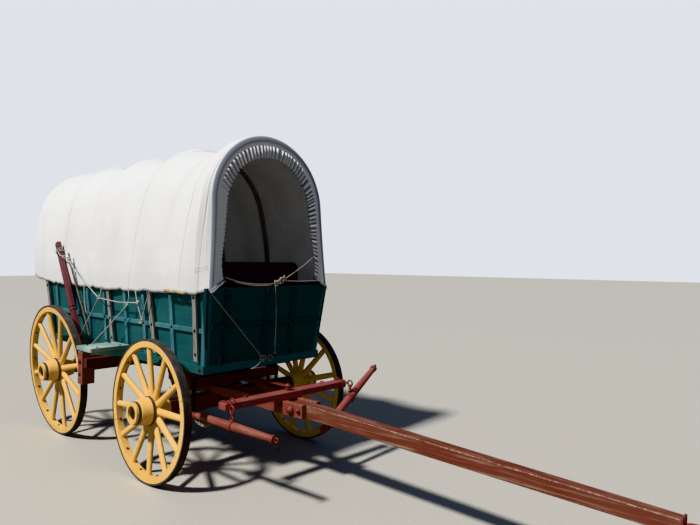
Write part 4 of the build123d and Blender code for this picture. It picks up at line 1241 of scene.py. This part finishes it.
# wheel diameter and lean in degrees; then side and turn of the spokes in degrees for each wheel
wheel_sizes = {"front": (1.016, -1.3), "rear": (1.168, 4.0)}
wheel_turns = {
    "front_left": (1, 15.0), "front_right": (-1, 3.0), "rear_left": (1, 7.0), "rear_right": (-1, 11.0),
}
for wheel, (side, turn) in wheel_turns.items():
    diameter, lean = wheel_sizes[wheel.split("_")[0]]
    low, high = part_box(wheel + "_felloes")
    centre = (Vector(low) + Vector(high)) / 2
    tip = Matrix.Rotation(math.radians(-side * lean), 3, "X")
    rim_nuts = []
    for i in range(12):
        angle = math.radians(turn + 15 + 30 * i)
        ray = tip @ Vector((math.cos(angle), 0, math.sin(angle)))
        rim_nuts.append((centre + ray * (diameter / 2 - rim_depth), facing(-ray, 0.4 * i), 1.0))
    repeated(wheel + "_rim_nuts", nut_tree, rim_nuts, "wheel_" + wheel, black_iron, 7, 0.010, 0.009)

# %% [markdown]
# ## Straps, staples and hooks
#
# The smith's work: flat straps that clasp the axles and the brake lever, and round wire bent into
# staples and hooks. A strap is a rounded rectangle drawn out along the bar that it clasps. The wire
# uses the same tube as the rope, without its lobes.

# %% Straps
corner_radius = 0.005
corner_steps = 3
strap_thickness = 0.004


def rounded_outline(half_u, half_v, radius):
    """The points round a rectangle with rounded corners."""
    spots = []
    for corner, (u, v) in enumerate(((1, 1), (-1, 1), (-1, -1), (1, -1))):
        for k in range(corner_steps + 1):
            angle = math.pi / 2 * (corner + k / corner_steps)
            across, up = radius * math.cos(angle), radius * math.sin(angle)
            spots.append((u * (half_u - radius) + across, v * (half_v - radius) + up))
    return spots


def straps(name, rows, finish, body):
    """Each row: centre, the bar's direction, the direction across it, both half sizes, the strap's width."""
    form = bmesh.new()
    for centre, along, across, half_u, half_v, width in rows:
        along, across = Vector(along).normalized(), Vector(across).normalized()
        up = along.cross(across)
        edges = []
        for grow in (0.0, strap_thickness):
            for end in (-0.5, 0.5):
                outline = rounded_outline(half_u + grow, half_v + grow, corner_radius + grow)
                middle = Vector(centre) + along * end * width
                edges.append([form.verts.new(middle + across * u + up * v) for u, v in outline])
        inner_a, inner_b, outer_a, outer_b = edges
        for pair in ((outer_a, outer_b), (inner_a, inner_b), (inner_a, outer_a), (inner_b, outer_b)):
            skin(form, pair, caps=False)
    print(name, len(rows))
    return mesh_object(name, finished(form), finish, body, smooth=False)


straps("lever_bands", [
    (lever_foot + lever_way * run, lever_way, (0, 1, 0), 0.0183, 0.0253, 0.014)
    for run in (0.452, 0.486, 1.060)
], red_iron, "wagon")
straps("rear_axle_clips", [
    ((-2.020, side * 0.500, 0.6665), (0, 1, 0), (1, 0, 0), 0.0510, 0.1250, 0.038) for side in (-1, 1)
], black_iron, "wagon")
straps("front_axle_clips", [
    ((-0.350, side * 0.400, 0.5740), (0, 1, 0), (1, 0, 0), 0.0508, 0.1215, 0.036) for side in (-1, 1)
], black_iron, "front_gear")

# %% Hammer strap over the doubletree's pin
hammer_line = ((0.332, 0.668), (0.300, 0.668), (-0.10, 0.668), (-0.298, 0.660))
hammer_half_width, hammer_thickness = 0.020, 0.007
edge_width = 0.002


def flat_bar(line, half_width, thickness):
    """A flat bar that follows points (x, z) at y = 0."""
    form = bmesh.new()
    outline = ((-half_width, 0), (half_width, 0), (half_width, thickness), (-half_width, thickness))
    skin(form, [[form.verts.new((x, y, z + up)) for y, up in outline] for x, z in line])
    return finished(form)


hammer_form = flat_bar(hammer_line, hammer_half_width, hammer_thickness)
hammer = mesh_object("hammer_strap", hammer_form, red_iron, "front_gear", smooth=False)
hammer_edge = hammer.modifiers.new("edge", "BEVEL")
hammer_edge.width = edge_width
hammer_edge.segments = 2
upward = facing((0, 0, 1))
gear_bolts = [((0.305, 0.0, 0.6755), upward, 1.9), ((-0.270, 0.0, 0.6690), upward, 1.2)]
gear_bolts += [((0.440, side * 0.1055, 0.539), facing((0, side, 0)), 2.0) for side in (-1, 1)]
gear_bolts += [
    ((x, side * 0.1055, 0.548), facing((0, side, 0)), 1.2) for side in (-1, 1) for x in (0.330, 0.520)
]
repeated("front_gear_bolts", bolt_tree, gear_bolts, "front_gear", red_iron, 9, 0.0095, 0.004)

# %% Staples and hooks of bent wire
bar_turn = Matrix.Rotation(math.radians(-2.5), 3, "Z")
bar_place = Vector((0.305, 0.0, 0.617))
bar_half_height = 0.023
# each staple: where it starts along the bar and across it, its run along and across, its height
staple_table = (
    (-0.512, 0.012, 0.024, 0.044, 0.030), (0.500, -0.018, 0.012, 0.024, 0.026),
    (-0.375, -0.020, 0.040, 0.0, 0.018), (0.330, -0.020, 0.040, 0.0, 0.018),
)
ring_place, ring_radius = Vector((0.326, -0.530, 0.617)), 0.024


def staple(along, across, run_along, run_across, height):
    """Bent wire that stands on the doubletree's top face."""
    spots = []
    for k in range(9):
        up = height * math.sin(math.pi * k / 8) ** 0.6 - 0.003
        place = (across + run_across * k / 8, along + run_along * k / 8, bar_half_height + up)
        spots.append(bar_place + bar_turn @ Vector(place))
    return spots


ring_axis = Vector((-0.45, 0.85, 0.10)).normalized()
ring_side = ring_axis.cross(Vector((0, 0, 1))).normalized()
ring_up = ring_side.cross(ring_axis)
big_ring = [ring_place + ring_radius * (math.cos(a) * ring_side + math.sin(a) * ring_up) for a in circle]
bar_wires = [*(staple(*row) for row in staple_table), big_ring]
rope("doubletree_staples", bar_wires, 0.0042, red_iron, "doubletree_bar", lobes=0.0)
near_hook = (
    (0.762, -0.493, 0.489), (0.771, -0.492, 0.470), (0.776, -0.492, 0.446), (0.774, -0.492, 0.424),
    (0.764, -0.493, 0.413), (0.752, -0.494, 0.416), (0.748, -0.494, 0.428),
)
rope("trace_hook", [near_hook], 0.0038, black_iron, "singletree_right_bar", lobes=0.0)
print("wires on the doubletree", len(bar_wires))

# %% Short chain under the near singletree
link_length, link_wire = 0.0125, 0.0026
chain_line = smooth_line((
    (-0.030, -0.566, 0.488), (-0.010, -0.563, 0.462), (0.050, -0.557, 0.446),
    (0.110, -0.552, 0.450), (0.160, -0.548, 0.488),
))
chain_spots = evenly(chain_line, link_length * 1.35)
links = [
    ((a + b) / 2, lying(b - a, math.pi / 2 * (i % 2)), 1.0)
    for i, (a, b) in enumerate(zip(chain_spots, chain_spots[1:]))
]
# zinc that has gone dull: pale, flat and brown where dust lies
dusty_iron = iron("dusty galvanised chain", "BFB2A0", "8C7460", 0.5, 0.3, 0.5)
repeated("short_chain", link_tree, links, "singletree_right_bar", dusty_iron, 1, link_wire, link_length)

# %% [markdown]
# ## Small things on the cover
#
# A peeled stick is rolled into the hem as a toggle, a thin stake leans against the box for the
# rope, and the cloth has a sewn patch and a few seams. The stitches follow the cloth itself: each
# one is laid between two points of the cover's own surface.

# %% Toggle and stake
# bright wood without bark; grey wood that has stood outside for years
stick_wood = bare_timber("peeled stick", "CDB996", "93805F", every_way)
stake_wood = bare_timber("weathered stake", "8E8A80", "5A564D", every_way)
knobbly = 0.10
stake_steps = 12
stake_bend = 0.010


def round_stick(points, radii):
    """A stick through a few points, with its own radius at each and an uneven bark side."""
    form = bmesh.new()
    rings = []
    for i, (spot, radius) in enumerate(zip(points, radii)):
        way = (points[min(i + 1, len(points) - 1)] - points[max(i - 1, 0)]).normalized()
        side = way.orthogonal().normalized()
        rings.append(round_ring(
            form, spot, side, way.cross(side),
            lambda a: radius * (1 + knobbly * uneven(i * 1.7, math.cos(a) * 1.5, math.sin(a) * 1.5)),
        ))
    skin(form, rings)
    return finished(form)


toggle_points = [
    Vector((-0.345 + 0.045 * k, -0.621 - 0.001 * math.sin(k), 1.361 - 0.0016 * k + 0.002 * math.sin(k * 2)))
    for k in range(7)
]
toggle_radii = (0.010, 0.0115, 0.011, 0.0105, 0.011, 0.010, 0.009)
mesh_object("hem_toggle", round_stick(toggle_points, toggle_radii), stick_wood, "wagon")
stake_foot, stake_top = Vector((-1.740, -0.5450, 0.849)), Vector((-2.006, -0.6420, 1.640))
stake_points = [stake_foot.lerp(stake_top, k / stake_steps) for k in range(stake_steps + 1)]
for k, spot in enumerate(stake_points):
    spot.x += stake_bend * math.sin(k * 0.55)
stake_radii = [0.0135 - 0.0005 * k for k in range(stake_steps + 1)]
mesh_object("rope_stake", round_stick(stake_points, stake_radii), stake_wood, "wagon")
print("toggle", len(toggle_points), "points, stake", len(stake_points))

# %% Stitches on the cover
stitch_pitch = 0.014
seam_steps = 120
# pale waxed thread, a little greyer than the cloth
stitch_thread = rope_finish("waxed linen thread", "B9B4AA", "8A857A")
# bay of each seam at the crown and at the hem, then the patch's corners by bay and share
seams = ((0.00, 0.75), (1.02, 1.27), (1.80, 2.45), (3.90, 4.12))
corners = ((0.12, 0.0505), (0.88, 0.0505), (0.88, 0.0575), (0.12, 0.0575), (0.12, 0.0505))


def stitch_line(points):
    """Stitches laid end to end along a line on the cloth."""
    spots = evenly(points, stitch_pitch)
    return [((a + b) / 2, lying(b - a), 1.0) for a, b in zip(spots, spots[1:])]


def on_cover(bay, share, proud=0.0008):
    """A place on the cover's outside, by bay and by share round the arch."""
    place = (bay / 6) * (len(cover_grid) - 1)
    i = min(len(cover_grid) - 2, int(place))
    k = min(round_steps - 1, int(share * round_steps))
    over = share * round_steps - k
    first, second = (cover_grid[n][k].lerp(cover_grid[n][k + 1], over) for n in (i, i + 1))
    spot = first.lerp(second, place - i)
    centre = Vector((spot.x, 0, 1.9))
    return spot + (spot - centre).normalized() * proud


stitches = []
for crown, hem in seams:
    shares = [k / seam_steps for k in range(1, seam_steps)]
    stitches += stitch_line([on_cover(crown + (hem - crown) * abs(share * 2 - 1), share) for share in shares])
for (a, b), (c, d) in zip(corners, corners[1:]):
    stitches += stitch_line([on_cover(a + (c - a) * k / 8, b + (d - b) * k / 8) for k in range(9)])
repeated("cover_stitches", stitch_tree, stitches, "wagon", stitch_thread, 2, 0.0011, 0.0052)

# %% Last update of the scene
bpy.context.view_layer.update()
